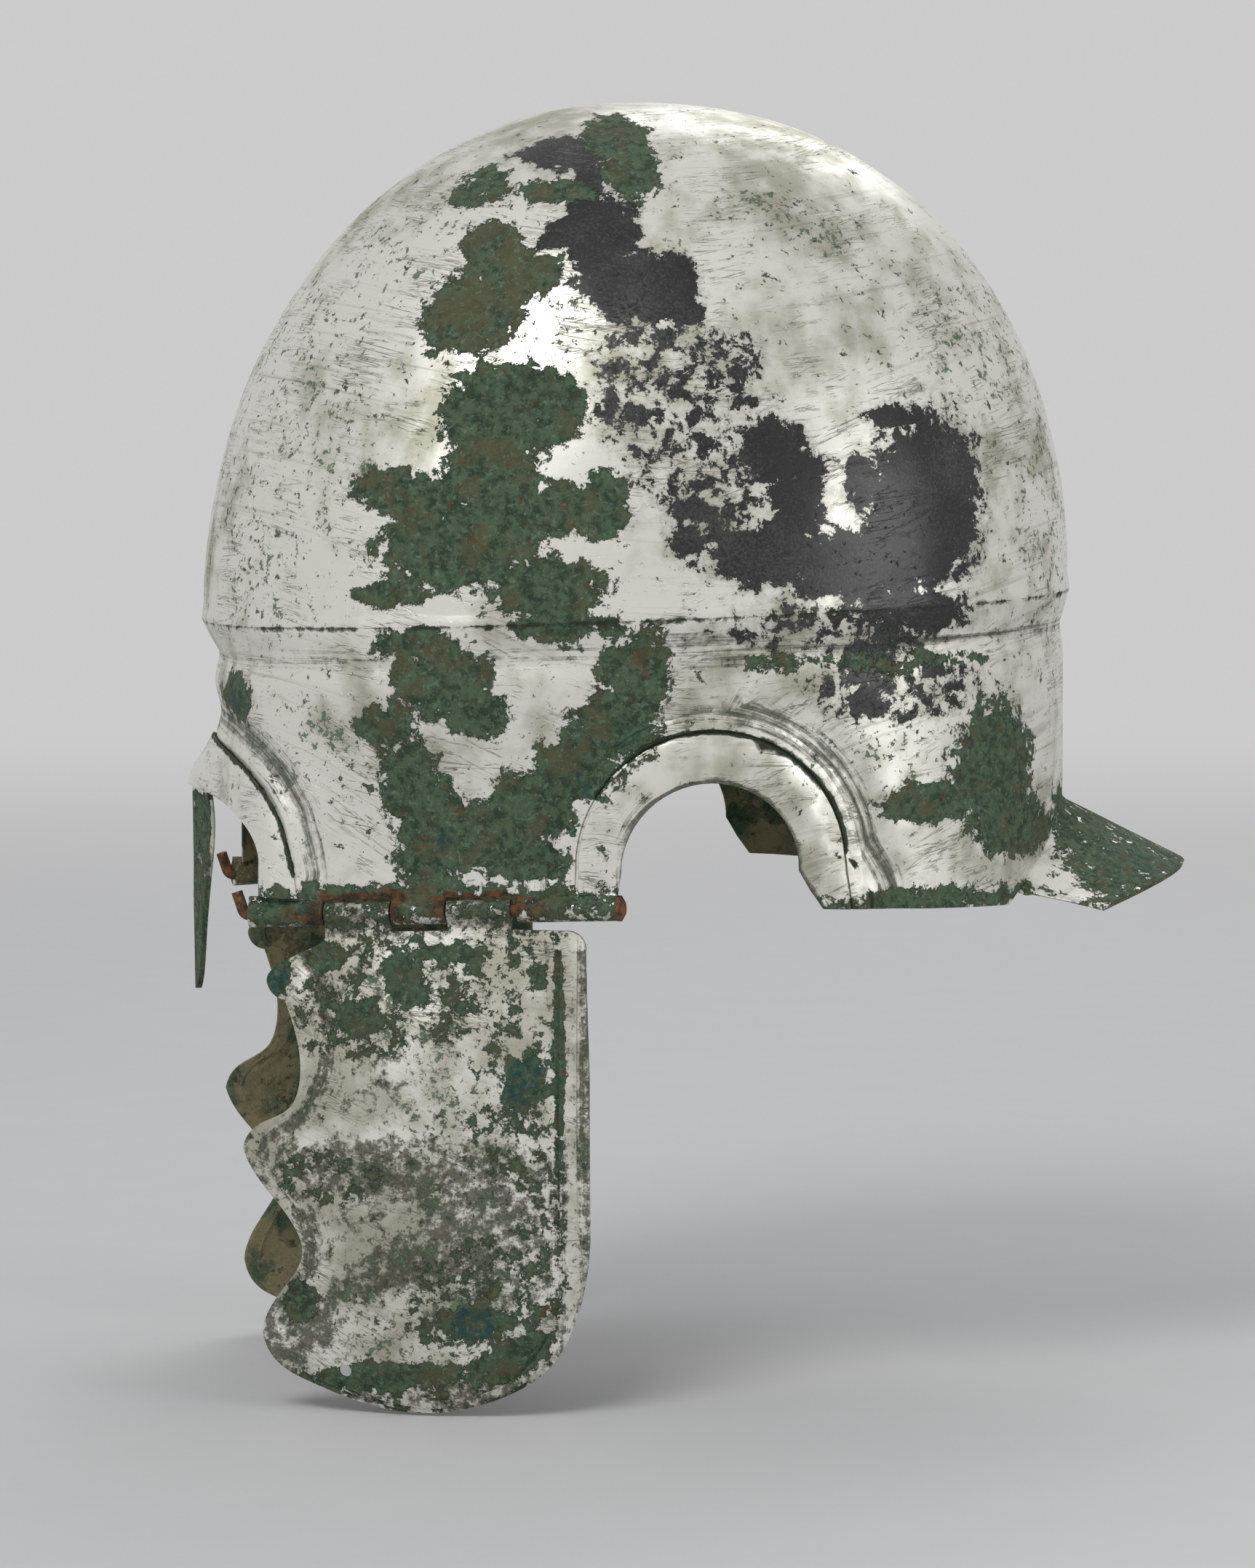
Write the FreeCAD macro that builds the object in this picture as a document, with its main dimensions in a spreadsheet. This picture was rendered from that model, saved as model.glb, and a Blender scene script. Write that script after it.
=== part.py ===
# Chalcidian helmet with hinged cheek-pieces, in millimetres.
# The face looks along -X, the neck is at +X, the wearer's left is at -Y and +Z is up.
# The origin lies midway between the two hinges, at the height where the head enters.
# Each sheet is a curved form less the same form drawn in by the sheet's thickness.

import FreeCAD, Part
import math
import os
import Sketcher
from FreeCAD import Placement, Rotation, Vector

os.makedirs("parts", exist_ok=True)
doc = FreeCAD.newDocument("chalcidian_helmet")

# Driving sizes. Squareness 2 is an ellipse, and more draws the corners out.
sizes = {
    "skull_length": 236.8,
    "skull_width": 186.0,
    "rim_draw_in": 4.5,
    "crown_height": 214.0,
    "bowl_sheet": 1.4,
    "dome_fullness_front": 2.05,
    "dome_fullness_back": 2.2,
    "brow_squareness": 2.8,
    "dome_share": 0.6,
    "nape_squareness": 2.1,
    "carination_height": 77.5,
    "carination_rise": 8.0,
    "step_height": 9.0,
    "step_front": 3.2,
    "step_back": 1.0,
    "brow_height": 28.6,
    "brow_flare": 6.6,
    "brow_flare_height": 15.0,
    "brow_flare_spread": 22.0,
    "brow_border": 9.0,
    "eye_arch_depth": 16.0,
    "border_relief": 1.2,
    "nasal_length": 56.0,
    "nasal_half_width": 11.5,
    "nasal_sheet": 1.8,
    "hinge_front_setback": 9.9,
    "hinge_taper": 28.0,
    "hinge_inset": 0.5,
    "hinge_rise": 3.5,
    "front_knuckle": 20.0,
    "middle_knuckle": 14.2,
    "rear_knuckle": 26.6,
    "front_tab": 17.6,
    "rear_tab": 17.0,
    "side_play": 0.6,
    "rear_play": 2.0,
    "knuckle_wall": 1.75,
    "roll_blend": 2.6,
    "notch_clearance": 0.9,
    "pin_diameter": 3.0,
    "pin_play": 0.05,
    "pin_bend_radius": 2.0,
    "pin_tip_length": 5.0,
    "pin_tip_lean": 17.0,
    "pin_head_diameter": 6.8,
    "pin_head_height": 2.0,
    "ear_radius": 23.6,
    "ear_centre_height": 11.0,
    "ear_rear_run": 6.5,
    "ear_border": 13.0,
    "ear_groove": 0.9,
    "ear_fillet": 5.4,
    "rear_rim_drop": 2.2,
    "neck_root_half": 50.0,
    "neck_root_low": 2.5,
    "neck_root_high": 23.5,
    "neck_reach": 35.0,
    "neck_corner_reach": 23.0,
    "neck_edge_half": 56.0,
    "neck_drop": 17.5,
    "neck_corner_drop": 5.0,
    "cheek_sheet": 1.3,
    "cheek_rear": 92.0,
    "cheek_width": 93.3,
    "cheek_drop": 132.4,
    "cheek_top_gap": 1.7,
    "cheek_lean": 1.6,
    "cheek_bow_down": 5.0,
    "cheek_bow_across": 4.5,
    "lug_drop": 17.3,
    "lug_setback": 7.5,
    "cusp_drop": 61.2,
    "eye_notch": 16.7,
    "mouth_notch": 15.4,
    "chin_setback": 4.4,
    "front_bevel": 4.5,
    "bevel_drop": 0.6,
    "rear_flange": 3.0,
    "chin_flange": 1.4,
    "rib_width": 4.4,
    "rib_relief": 0.9,
    "strap_hole": 3.5,
    "strap_hole_back": 27.5,
    "strap_hole_up": 11.7,
}
sheet = doc.addObject("Spreadsheet::Sheet", "sizes")
for row, (name, value) in enumerate(sizes.items(), start=1):
    sheet.set("A%d" % row, name)
    sheet.set("B%d" % row, str(value))
    sheet.setAlias("B%d" % row, name)
doc.recompute()


def size(name):
    """The value of one named cell."""
    return float(getattr(sheet, name))


# Values worked out from the driving sizes
reach = size("skull_length") / 2
rim_half = size("skull_width") / 2 - size("rim_draw_in")
gap_rear = rim_half - size("hinge_inset")
gap_front = gap_rear - size("hinge_taper")
bore_radius = size("pin_diameter") / 2 + size("pin_play")
knuckle_radius = bore_radius + size("knuckle_wall")
tab_radius = bore_radius + size("cheek_sheet")
hinge_length = (size("front_knuckle") + size("middle_knuckle") + size("rear_knuckle")
                + size("front_tab") + size("rear_tab")
                + 3 * size("side_play") + size("rear_play"))
hinge_length_cells = ("sizes.front_knuckle + sizes.middle_knuckle + sizes.rear_knuckle"
                      " + sizes.front_tab + sizes.rear_tab"
                      " + 3 * sizes.side_play + sizes.rear_play")
hinge_toe = math.asin(size("hinge_taper") / hinge_length)
hinge_pitch = math.asin(size("hinge_rise") / hinge_length)
hinge_front = Vector(size("hinge_front_setback") - reach,
                     -gap_front, -size("hinge_rise") / 2)
hinge_along = Vector(math.cos(hinge_toe) * math.cos(hinge_pitch),
                     -math.sin(hinge_toe) * math.cos(hinge_pitch),
                     math.sin(hinge_pitch))
hinge_rear = hinge_front + hinge_along * hinge_length
notch_top = tab_radius + size("notch_clearance")
hinge_fade = size("skull_length") / 10
points_round = 24
dome_levels = 7
wall_levels = 16
below_rim = 8
far_out = 4 * reach


def smooth(value):
    """0 below 0, 1 above 1 and a soft S between."""
    value = min(max(value, 0.0), 1.0)
    return value * value * (3 - 2 * value)


def hinge_line_y(x):
    """Half-width of the hinge axis, carried on in a straight line."""
    return -hinge_front.y + math.tan(hinge_toe) * (x - hinge_front.x)


def oval_point(angle, front, back, half, square_front, square_back):
    """A point of an egg-shaped section. Angle 0 is the nape and 180 degrees the brow."""
    c = math.cos(angle)
    s = math.sin(angle)
    toward_back = (1 + c) / 2
    power = square_front + (square_back - square_front) * toward_back
    radius = (abs(c) ** power + abs(s) ** power) ** (-1 / power)
    along = front + (back - front) * toward_back
    return along * radius * c, half * radius * s


def closed_curve(points):
    """A smooth closed wire through evenly numbered points."""
    curve = Part.BSplineCurve()
    steps = [float(i) for i in range(len(points) + 1)]
    curve.interpolate(Points=points, PeriodicFlag=True, Parameters=steps)
    return Part.Wire(curve.toShape())


def dome_section(rise, inset):
    """Section of the dome at a share of its height, 0 at the carination and 1 at the crown.

    It shrinks along a superellipse, so the dome stands upright at the carination and lies
    level at the crown. The carination climbs towards the nape, and the tilt fades upwards.
    """
    length = reach - inset
    half = size("skull_width") / 2 - inset
    height = size("crown_height") - size("carination_height") - inset
    square = 2 + (size("brow_squareness") - 2) * size("dome_share") * (1 - rise)
    points = []
    for i in range(points_round):
        angle = 2 * math.pi * i / points_round
        toward_back = (1 + math.cos(angle)) / 2
        full = size("dome_fullness_front")
        full += (size("dome_fullness_back") - full) * toward_back
        shrink = (1 - rise ** full) ** (1 / full)
        x, y = oval_point(angle, length, length, half, square, size("nape_squareness"))
        x = x * shrink
        y = y * shrink
        tilt = size("carination_rise") * x / (2 * reach) * (1 - rise)
        points.append(Vector(x, y, size("carination_height") + height * rise + tilt))
    return closed_curve(points)


def wall_section(depth, inset):
    """Section of the wall at a depth below the carination.

    It draws in under the step, narrows to the rim, straightens along the two hinges from
    the brow to just behind them, and swells forward over the nose to the brow's edge.
    """
    lowered = smooth(depth / size("step_height"))
    floor = size("carination_height") - depth
    fall = max(depth - size("step_height"), 0.0)
    fall = fall / (size("carination_height") - size("step_height"))
    half_top = size("skull_width") / 2 - (size("step_front") + size("step_back")) / 2 * lowered
    half = half_top + (rim_half - half_top) * fall - inset
    front = reach - size("step_front") * lowered - inset
    back = reach - size("step_back") * lowered - inset
    share = size("dome_share")
    step_square = 2 + (size("brow_squareness") - 2) * (share + (1 - share) * lowered)
    straight = smooth(fall * 1.1)
    tilt_share = 1 - smooth(fall * 1.6)
    flare_top = size("brow_height") + size("brow_flare_height")
    points = []
    for i in range(points_round):
        angle = 2 * math.pi * i / points_round
        x, y = oval_point(angle, front, back, half, step_square, size("nape_squareness"))
        toward_hinge = straight * smooth((hinge_rear.x - x) / hinge_fade + 0.5)
        side = hinge_line_y(x) + (size("bowl_sheet") / 2 - inset) / math.cos(hinge_toe)
        share = toward_hinge * smooth(abs(y) / gap_front * 1.6 - 0.6)
        y = y + (math.copysign(side, y) - y) * share
        tilt = size("carination_rise") * x / (2 * reach) * tilt_share
        z = floor + tilt
        if x < 0:
            spread = math.exp(-(y / size("brow_flare_spread")) ** 2)
            x -= size("brow_flare") * spread * smooth((flare_top - z) / size("brow_flare_height"))
        points.append(Vector(x, y, z))
    return closed_curve(points)


def skull_form(inset):
    """The whole skull as one solid: dome, step and wall, drawn in by inset."""
    crown = Vector(0, 0, size("crown_height") - inset)
    rises = [math.sin(math.pi / 2 * i / dome_levels) for i in range(dome_levels)]
    dome = [dome_section(rise, inset) for rise in rises] + [Part.Vertex(crown)]
    top = Part.makeLoft(dome, True, False)
    step = Part.makeLoft([wall_section(0, inset),
                          wall_section(size("step_height"), inset)], True, True)
    wall_height = size("carination_height") - size("step_height") + below_rim + inset
    spacing = wall_height / wall_levels
    wall = [wall_section(size("step_height") + spacing * i, inset)
            for i in range(wall_levels + 1)]
    side = Part.makeLoft(wall, True, False)
    return top.fuse([step, side]).removeSplitter()


def side_face(edges):
    """A flat face from edges drawn in the side view, carried far out to the left."""
    face = Part.Face(Part.Wire(Part.__sortEdges__(edges)))
    face.translate(Vector(0, -far_out, 0))
    return face


def across(edges):
    """A prism of a side-view outline through the whole width of the helmet."""
    return side_face(edges).extrude(Vector(0, 2 * far_out, 0))


def flat(x, z):
    """A point of the side view."""
    return Vector(x, 0, z)


def line(a, b):
    return Part.LineSegment(a, b).toShape()


def arc(a, b, c):
    return Part.Arc(a, b, c).toShape()


def spline(points):
    curve = Part.BSplineCurve()
    curve.interpolate(Points=points)
    return curve.toShape()


# Side-view outline of the lower edge: brow, hinge strip, ear arch, rear rim and nape
brow_peak = flat(-reach - 3, size("brow_height"))
eye_corner = flat(hinge_front.x + 2.3, size("brow_height") - size("eye_arch_depth"))
eye_middle = flat(hinge_front.x - 3, size("brow_height") - size("eye_arch_depth") * 0.31)
strip_front = flat(eye_corner.x, hinge_front.z + notch_top)
strip_rear = flat(hinge_rear.x, hinge_rear.z + notch_top)
ear_radius = size("ear_radius")
ear_centre = flat(hinge_rear.x + 0.8 + ear_radius, size("ear_centre_height"))
ear_left = ear_centre + flat(-ear_radius, 0)
ear_top = ear_centre + flat(0, ear_radius)
ear_right = ear_centre + flat(ear_radius, 0)
ear_foot = flat(ear_right.x + size("ear_rear_run"), size("rear_rim_drop") * 0.4)
nape_x = reach - size("step_back") - 0.5
neck_half = size("neck_root_half")
nape_share = (neck_half / rim_half) ** size("nape_squareness")
nape_corner_x = nape_x * (1 - nape_share) ** (1 / size("nape_squareness"))
rim_corner = flat(nape_corner_x - 3.5, -size("rear_rim_drop") * 0.6)
nape_corner = flat(nape_corner_x, size("neck_root_low"))
nape_slope = (size("neck_root_high") - size("neck_root_low")) / (nape_x - nape_corner_x)
nape_end = flat(nape_x + 20, size("neck_root_high") + 20 * nape_slope)
below = -far_out / 4


def rim_edges():
    """Closed outline of everything that lies below the helmet's lower edge."""
    front_far = flat(-reach - far_out / 4, size("brow_height"))
    return [
        line(front_far, brow_peak),
        arc(brow_peak, eye_middle, eye_corner),
        line(eye_corner, strip_front),
        line(strip_front, strip_rear),
        line(strip_rear, ear_left),
        arc(ear_left, ear_centre + flat(-ear_radius * 0.7071, ear_radius * 0.7071), ear_top),
        arc(ear_top, ear_centre + flat(ear_radius * 0.7071, ear_radius * 0.7071), ear_right),
        line(ear_right, ear_foot),
        line(ear_foot, rim_corner),
        line(rim_corner, nape_corner),
        line(nape_corner, nape_end),
        line(nape_end, flat(nape_end.x, below)),
        line(flat(nape_end.x, below), flat(front_far.x, below)),
        line(flat(front_far.x, below), front_far),
    ]


def ear_border_edges(wide):
    """Outline of a band round the ear opening, wide across it and closed below the rim."""
    outer = ear_radius + wide
    foot = below / 4
    left = ear_centre + flat(-outer + 2, 0)
    right = ear_centre + flat(outer - 1, 0)
    return [
        line(flat(left.x - 1, foot), left),
        arc(left, ear_centre + flat(0, outer), right),
        line(right, flat(ear_foot.x + wide * 0.85, foot)),
        line(flat(ear_foot.x + wide * 0.85, foot), flat(left.x - 1, foot)),
    ]


def brow_border_edges():
    """Outline of the raised band along the eye opening."""
    wide = size("brow_border")
    top = size("brow_height") + wide * 1.45
    start = flat(-reach - wide * 2, top)
    peak = flat(-reach + 2, top)
    middle = flat(eye_corner.x + wide * 0.05, size("brow_height") + wide * 0.3)
    low = flat(eye_corner.x + wide * 0.75, eye_corner.z + wide * 0.4)
    foot = flat(low.x + wide * 0.35, strip_front.z + 1)
    return [
        line(start, peak),
        arc(peak, middle, low),
        line(low, foot),
        line(foot, flat(start.x, foot.z)),
        line(flat(start.x, foot.z), start),
    ]


def hinge_placement(along):
    """Places a piece drawn with its length along +X, its height along +Z, outward along -Y."""
    turn = Rotation(Vector(0, 0, 1), -math.degrees(hinge_toe))
    pitch = Rotation(Vector(0, 1, 0), -math.degrees(hinge_pitch))
    return Placement(hinge_front + hinge_along * along, turn.multiply(pitch))


def loop_solid(radius, half_wall, blend, length):
    """A sheet's edge rolled round the pin: a round tube that runs up into the flat sheet.

    The fillets of radius blend touch both the tube and the sheet's faces.
    """
    lift = math.sqrt((radius + blend) ** 2 - (half_wall + blend) ** 2)
    share = radius / (radius + blend)
    side = half_wall + blend
    touch_right = Vector(0, side * share, lift * share)
    touch_left = Vector(0, -side * share, lift * share)
    neck_right = Vector(0, half_wall, lift)
    neck_left = Vector(0, -half_wall, lift)
    toward = math.radians(225) - math.atan2(lift, side) / 2
    mid_right = Vector(0, side + blend * math.cos(toward), lift + blend * math.sin(toward))
    mid_left = Vector(0, -mid_right.y, mid_right.z)
    roll = [
        arc(touch_right, Vector(0, 0, -radius), touch_left),
        arc(touch_left, mid_left, neck_left),
        line(neck_left, neck_right),
        arc(neck_right, mid_right, touch_right),
    ]
    face = Part.Face(Part.Wire(Part.__sortEdges__(roll)))
    return face.extrude(Vector(length, 0, 0))


def mirrored(shape):
    """The same piece on the wearer's right."""
    return shape.mirror(Vector(0, 0, 0), Vector(0, 1, 0))


# Stations along the hinge, from its front end
tab_front_start = size("front_knuckle") + size("side_play")
middle_start = tab_front_start + size("front_tab") + size("side_play")
tab_rear_start = middle_start + size("middle_knuckle") + size("side_play")
rear_start = tab_rear_start + size("rear_tab") + size("rear_play")


def knuckles():
    """The three rolled lengths of the bowl's edge, on the left."""
    spans = [(0, size("front_knuckle")),
             (middle_start, size("middle_knuckle")),
             (rear_start, size("rear_knuckle"))]
    solids = []
    for start, length in spans:
        solid = loop_solid(knuckle_radius, size("bowl_sheet") / 2, size("roll_blend"), length)
        solid.Placement = hinge_placement(start)
        solids.append(solid)
    return solids


def hinge_bore(radius):
    """A round bar along the whole hinge axis, for the bore."""
    spare = 10
    bar = Part.makeCylinder(radius, hinge_length + 2 * spare, Vector(-spare, 0, 0),
                            Vector(1, 0, 0))
    bar.Placement = hinge_placement(0)
    return bar


def neck_guard():
    """Flared plate behind the nape, lofted through profiles set square to its root."""
    sections = []
    sheet_thick = size("bowl_sheet")
    stations = 9
    for i in range(stations):
        u = -1 + 2 * i / (stations - 1)
        root_y = neck_half * u
        root_share = (abs(root_y) / rim_half) ** size("nape_squareness")
        root_x = nape_x * (1 - root_share) ** (1 / size("nape_squareness")) - sheet_thick / 2
        root_z = size("neck_root_low") + nape_slope * (root_x + sheet_thick / 2 - nape_corner_x)
        reach_out = size("neck_reach")
        reach_out += (size("neck_corner_reach") - reach_out) * abs(u) ** 2.4
        drop = size("neck_drop") + (size("neck_corner_drop") - size("neck_drop")) * abs(u) ** 2
        edge_x = root_x + reach_out
        edge_y = size("neck_edge_half") * u
        out = Vector(edge_x - root_x, edge_y - root_y, 0)
        run = out.Length
        out.normalize()
        root = Vector(root_x, root_y, root_z)
        fall = math.atan2(drop, run)
        normal = out * math.sin(fall) + Vector(0, 0, math.cos(fall))
        edge = root + out * run + Vector(0, 0, -drop)
        lift = 4.5
        start = root + Vector(0, 0, lift)
        bend = root + out * 4.5 * math.cos(fall) - Vector(0, 0, 4.5 * math.sin(fall))
        knee = root + (out * 0.30 + Vector(0, 0, 0.30)) * 2.6
        outer_start = start + out * sheet_thick / 2
        outer_knee = knee + (out + Vector(0, 0, 1)) * 0.5 * sheet_thick * 0.7071
        outer_bend = bend + normal * sheet_thick / 2
        outer_edge = edge + normal * sheet_thick / 2
        inner_edge = edge - normal * sheet_thick / 2
        inner_bend = bend - normal * sheet_thick / 2
        inner_knee = root - (out + Vector(0, 0, 1)) * 0.2 * sheet_thick
        inner_start = start - out * sheet_thick * 0.3
        sections.append(Part.Wire([
            arc(outer_start, outer_knee, outer_bend),
            line(outer_bend, outer_edge),
            line(outer_edge, inner_edge),
            line(inner_edge, inner_bend),
            arc(inner_bend, inner_knee, inner_start),
            line(inner_start, outer_start),
        ]))
    return Part.makeLoft(sections, True, False)


def nasal():
    """Nose guard: a plate folded along its middle, hung from the brow's peak."""
    front = -reach + size("step_front") - size("brow_flare")
    brow = size("brow_height")
    long = size("nasal_length")
    wide = size("nasal_half_width")
    thick = size("nasal_sheet")
    # share of the length below the brow, share of the half-width, sweep of the wings
    stations = [(-0.07, 1.55, 0.16), (0.03, 1.2, 0.28), (0.14, 1.0, 0.38), (0.4, 0.88, 0.34),
                (0.68, 0.74, 0.22), (0.86, 0.6, 0.18), (0.96, 0.38, 0.16), (1.0, 0.12, 0.15)]
    sections = []
    for share, half, sweep in stations:
        z = brow - long * share
        w = wide * half
        x = front + 0.9 * smooth(-share * 12) + 0.5 * share
        corners = [Vector(x, 0, z), Vector(x + sweep * w, w, z),
                   Vector(x + sweep * w + thick * 0.8, w, z), Vector(x + thick, 0, z),
                   Vector(x + sweep * w + thick * 0.8, -w, z), Vector(x + sweep * w, -w, z)]
        sections.append(Part.makePolygon(corners + corners[:1]))
    return Part.makeLoft(sections, True, False)


def make_bowl():
    """The skull piece: one sheet with its borders, nose and neck guards and rolled knuckles."""
    outer = skull_form(0)
    shell = outer.cut(skull_form(size("bowl_sheet")))
    raised = skull_form(-size("border_relief"))
    hollow = skull_form(size("bowl_sheet") / 2)
    ear_band = across(ear_border_edges(size("ear_border")))
    fillet_outer = across(ear_border_edges(size("ear_border") + size("ear_fillet")))
    fillet_inner = across(ear_border_edges(size("ear_border") + size("ear_groove")))
    border = raised.common(ear_band.fuse(across(brow_border_edges()))).cut(hollow)
    half_raised = skull_form(-size("border_relief") / 2)
    fillet = half_raised.common(fillet_outer.cut(fillet_inner)).cut(hollow)
    body = shell.fuse([border, fillet]).cut(across(rim_edges()))
    left = knuckles()
    right = [mirrored(k) for k in left]
    body = body.fuse(left + right + [neck_guard(), nasal()])
    bore = hinge_bore(bore_radius)
    return body.cut([bore, mirrored(bore)]).Solids[0]


# Side view of the left cheek-piece, from the hinge's front end: along the pin and down
cheek_rear = size("cheek_rear")
cheek_drop = size("cheek_drop")
lean_share = math.tan(math.radians(size("cheek_lean")))


def leaning(x, z):
    """A point of the cheek-piece's side view, carried forward as the plate leans."""
    return flat(x + z * lean_share, z)


cheek_top = -knuckle_radius - size("cheek_top_gap")
tab_foot = -tab_radius - 0.8
cusp = leaning(cheek_rear - size("cheek_width"), -size("cusp_drop"))
lug_tip = flat(cusp.x + size("lug_setback"), -size("lug_drop"))
lug_foot = lug_tip + flat(5, -5)
eye_deep = flat(cusp.x + size("eye_notch"), (lug_foot.z + cusp.z) / 2)
chin_front = leaning(cheek_rear - size("cheek_width") + size("chin_setback"), -cheek_drop * 0.836)
mouth_deep = flat(cusp.x + size("mouth_notch"), cusp.z * 0.43 + chin_front.z * 0.57)
chin_middle = leaning(cheek_rear - size("cheek_width") / 2, -cheek_drop)
rear_knee = leaning(cheek_rear, -cheek_drop * 0.64)
hang_slope = math.atan(4 * size("cheek_bow_down") / cheek_drop)


def cheek_top_edges():
    """From the lug up and along the two tabs to the rear corner."""
    tab_front_end = tab_front_start + size("front_tab")
    tab_rear_end = tab_rear_start + size("rear_tab")
    corners = [flat(tab_front_start, tab_foot * 1.7), flat(tab_front_start, tab_foot),
               flat(tab_front_end, tab_foot), flat(tab_front_end, cheek_top),
               flat(tab_rear_start, cheek_top), flat(tab_rear_start, tab_foot),
               flat(tab_rear_end, tab_foot), flat(tab_rear_end, cheek_top),
               flat(cheek_rear - 7, cheek_top - 0.6)]
    edges = [line(a, b) for a, b in zip(corners, corners[1:])]
    rear_corner = flat(cheek_rear - 1.5, cheek_top - 6.5)
    bulge = flat(cheek_rear - 2.7, cheek_top - 2.2)
    edges.append(arc(corners[-1], bulge, rear_corner))
    rear_middle = leaning(cheek_rear, -cheek_drop * 0.33)
    edges.append(line(rear_corner, rear_middle))
    edges.append(line(rear_middle, rear_knee))
    return edges


def cheek_outline():
    """Closed outline: tabs, straight rear edge, round chin, mouth and eye notches, lug."""
    lug_start = flat(tab_front_start, tab_foot * 1.7)
    chin = [rear_knee, leaning(cheek_rear - 4.2, -cheek_drop * 0.82),
            leaning(cheek_rear - 11, -cheek_drop * 0.91),
            leaning(cheek_rear - 28, -cheek_drop * 0.981), chin_middle, flat(chin_front.x + 13, -cheek_drop * 0.938),
            flat(chin_front.x + 3.2, -cheek_drop * 0.893), chin_front]
    mouth = [chin_front, flat(chin_front.x + 6, chin_front.z * 0.9 + mouth_deep.z * 0.1 + 9),
             mouth_deep, flat(mouth_deep.x - 4.5, mouth_deep.z * 0.6 + cusp.z * 0.4),
             flat(cusp.x + 3.6, cusp.z - 7.6), cusp]
    eye = [cusp, flat(cusp.x + 5.6, cusp.z + 6.6), flat(eye_deep.x - 3.3, eye_deep.z - 9),
           eye_deep, flat(lug_foot.x + 3, lug_foot.z - 9), lug_foot]
    lug = [lug_foot, flat(lug_tip.x + 1.5, lug_tip.z - 3.2), lug_tip,
           lug_tip + flat((lug_start.x - lug_tip.x) * 0.36, (lug_start.z - lug_tip.z) * 0.5),
           lug_start]
    return cheek_top_edges() + [spline(chin), spline(mouth), spline(eye), spline(lug)]


def inside_rib_edges(wide, narrow):
    """Outline that keeps wide of the rear edge and narrow of the chin."""
    inner_rear = cheek_rear - wide
    far_left = cusp.x - 10
    run = [leaning(inner_rear, rear_knee.z), leaning(inner_rear - 3.2, -cheek_drop * 0.84),
           leaning(inner_rear - 13, -cheek_drop * 0.93),
           flat(chin_middle.x + 5, -cheek_drop + narrow),
           flat(chin_front.x + 20, -cheek_drop * 0.938), flat(far_left, -cheek_drop * 0.86)]
    return [
        line(flat(inner_rear, 10), run[0]),
        spline(run),
        line(run[-1], flat(far_left, 10)),
        line(flat(far_left, 10), flat(inner_rear, 10)),
    ]


def cheek_middle_y(along, share):
    """Where the middle of the sheet stands at a share of the drop. Outward is negative."""
    bow = size("cheek_bow_down") * 4 * share * (1 - share)
    half = size("cheek_width") / 2
    off_centre = (along - chin_middle.x) / half
    return -bow - size("cheek_bow_across") * smooth(share * 2.5) * (1 - off_centre ** 2)


def cheek_blank(outset):
    """The bowed sheet before it is cut to its outline, moved outward by outset."""
    half = size("cheek_sheet") / 2
    left = cusp.x - 9
    right = cheek_rear + 6
    sections = []
    for share in (0.0, 0.12, 0.28, 0.5, 0.75, 1.04):
        z = -cheek_drop * share
        rows = []
        for skin in (-half - outset, half - outset):
            rows.append([Vector(x, cheek_middle_y(x, share) + skin, z)
                         for x in (left, chin_middle.x - 22, chin_middle.x + 22, right)])
        outer, inner = rows
        sections.append(Part.Wire([
            spline(outer),
            line(outer[-1], inner[-1]),
            spline(inner[::-1]),
            line(inner[0], outer[0]),
        ]))
    return Part.makeLoft(sections, True, False)


def strap_hole_spot():
    """Middle of the chin strap's hole on the sheet and the sheet's outward direction there."""
    z = size("strap_hole_up") - cheek_drop
    along = cheek_rear - size("cheek_width") + size("strap_hole_back") + z * lean_share
    share = -z / cheek_drop
    nudge = 0.01
    y = cheek_middle_y(along, share)
    slope_along = (cheek_middle_y(along + 1, share) - y)
    slope_down = (cheek_middle_y(along, share + nudge) - y) / (nudge * cheek_drop)
    outward = Vector(slope_along, -1, -slope_down)
    outward.normalize()
    return Vector(along, y, z), outward


def make_cheek():
    """The left cheek-piece, turned about the pin until its weight hangs below the pin."""
    outline = across(cheek_outline())
    rib_outside = inside_rib_edges(size("rear_flange"), size("chin_flange"))
    rib_inside = inside_rib_edges(size("rear_flange") + size("rib_width"),
                                  size("chin_flange") + size("rib_width") / 2)
    band = across(rib_outside).cut(across(rib_inside)).common(outline)
    rib = cheek_blank(size("rib_relief")).common(band)
    main = outline.copy()
    main.translate(Vector(size("front_bevel"), 0, 0))
    top_strip = Part.makeBox(far_out, 2 * far_out, far_out,
                             Vector(tab_front_start - 1, -far_out, -size("lug_drop") * 0.6))
    main = main.fuse(top_strip).common(outline)
    plate = cheek_blank(0).common(main)
    bevel = cheek_blank(-size("bevel_drop")).common(outline.cut(main))
    pieces = [rib, bevel]
    for start, length in ((tab_front_start, size("front_tab")),
                          (tab_rear_start, size("rear_tab"))):
        tab = loop_solid(tab_radius, size("cheek_sheet") / 2, size("roll_blend"), length)
        tab.rotate(Vector(0, 0, 0), Vector(1, 0, 0), 180 - math.degrees(hang_slope))
        tab.translate(Vector(start, 0, 0))
        pieces.append(tab)
    piece = plate.fuse(pieces)
    spot, outward = strap_hole_spot()
    hole = Part.makeCylinder(size("strap_hole") / 2, 20, spot - outward * 10, outward)
    bore = Part.makeCylinder(bore_radius, hinge_length, Vector(0, 0, 0), Vector(1, 0, 0))
    piece = piece.cut([hole, bore]).Solids[0]
    weight = piece.CenterOfMass
    rest = math.degrees(math.atan2(-weight.y, -weight.z))
    piece.rotate(Vector(0, 0, 0), Vector(1, 0, 0), -rest)
    return piece


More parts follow.
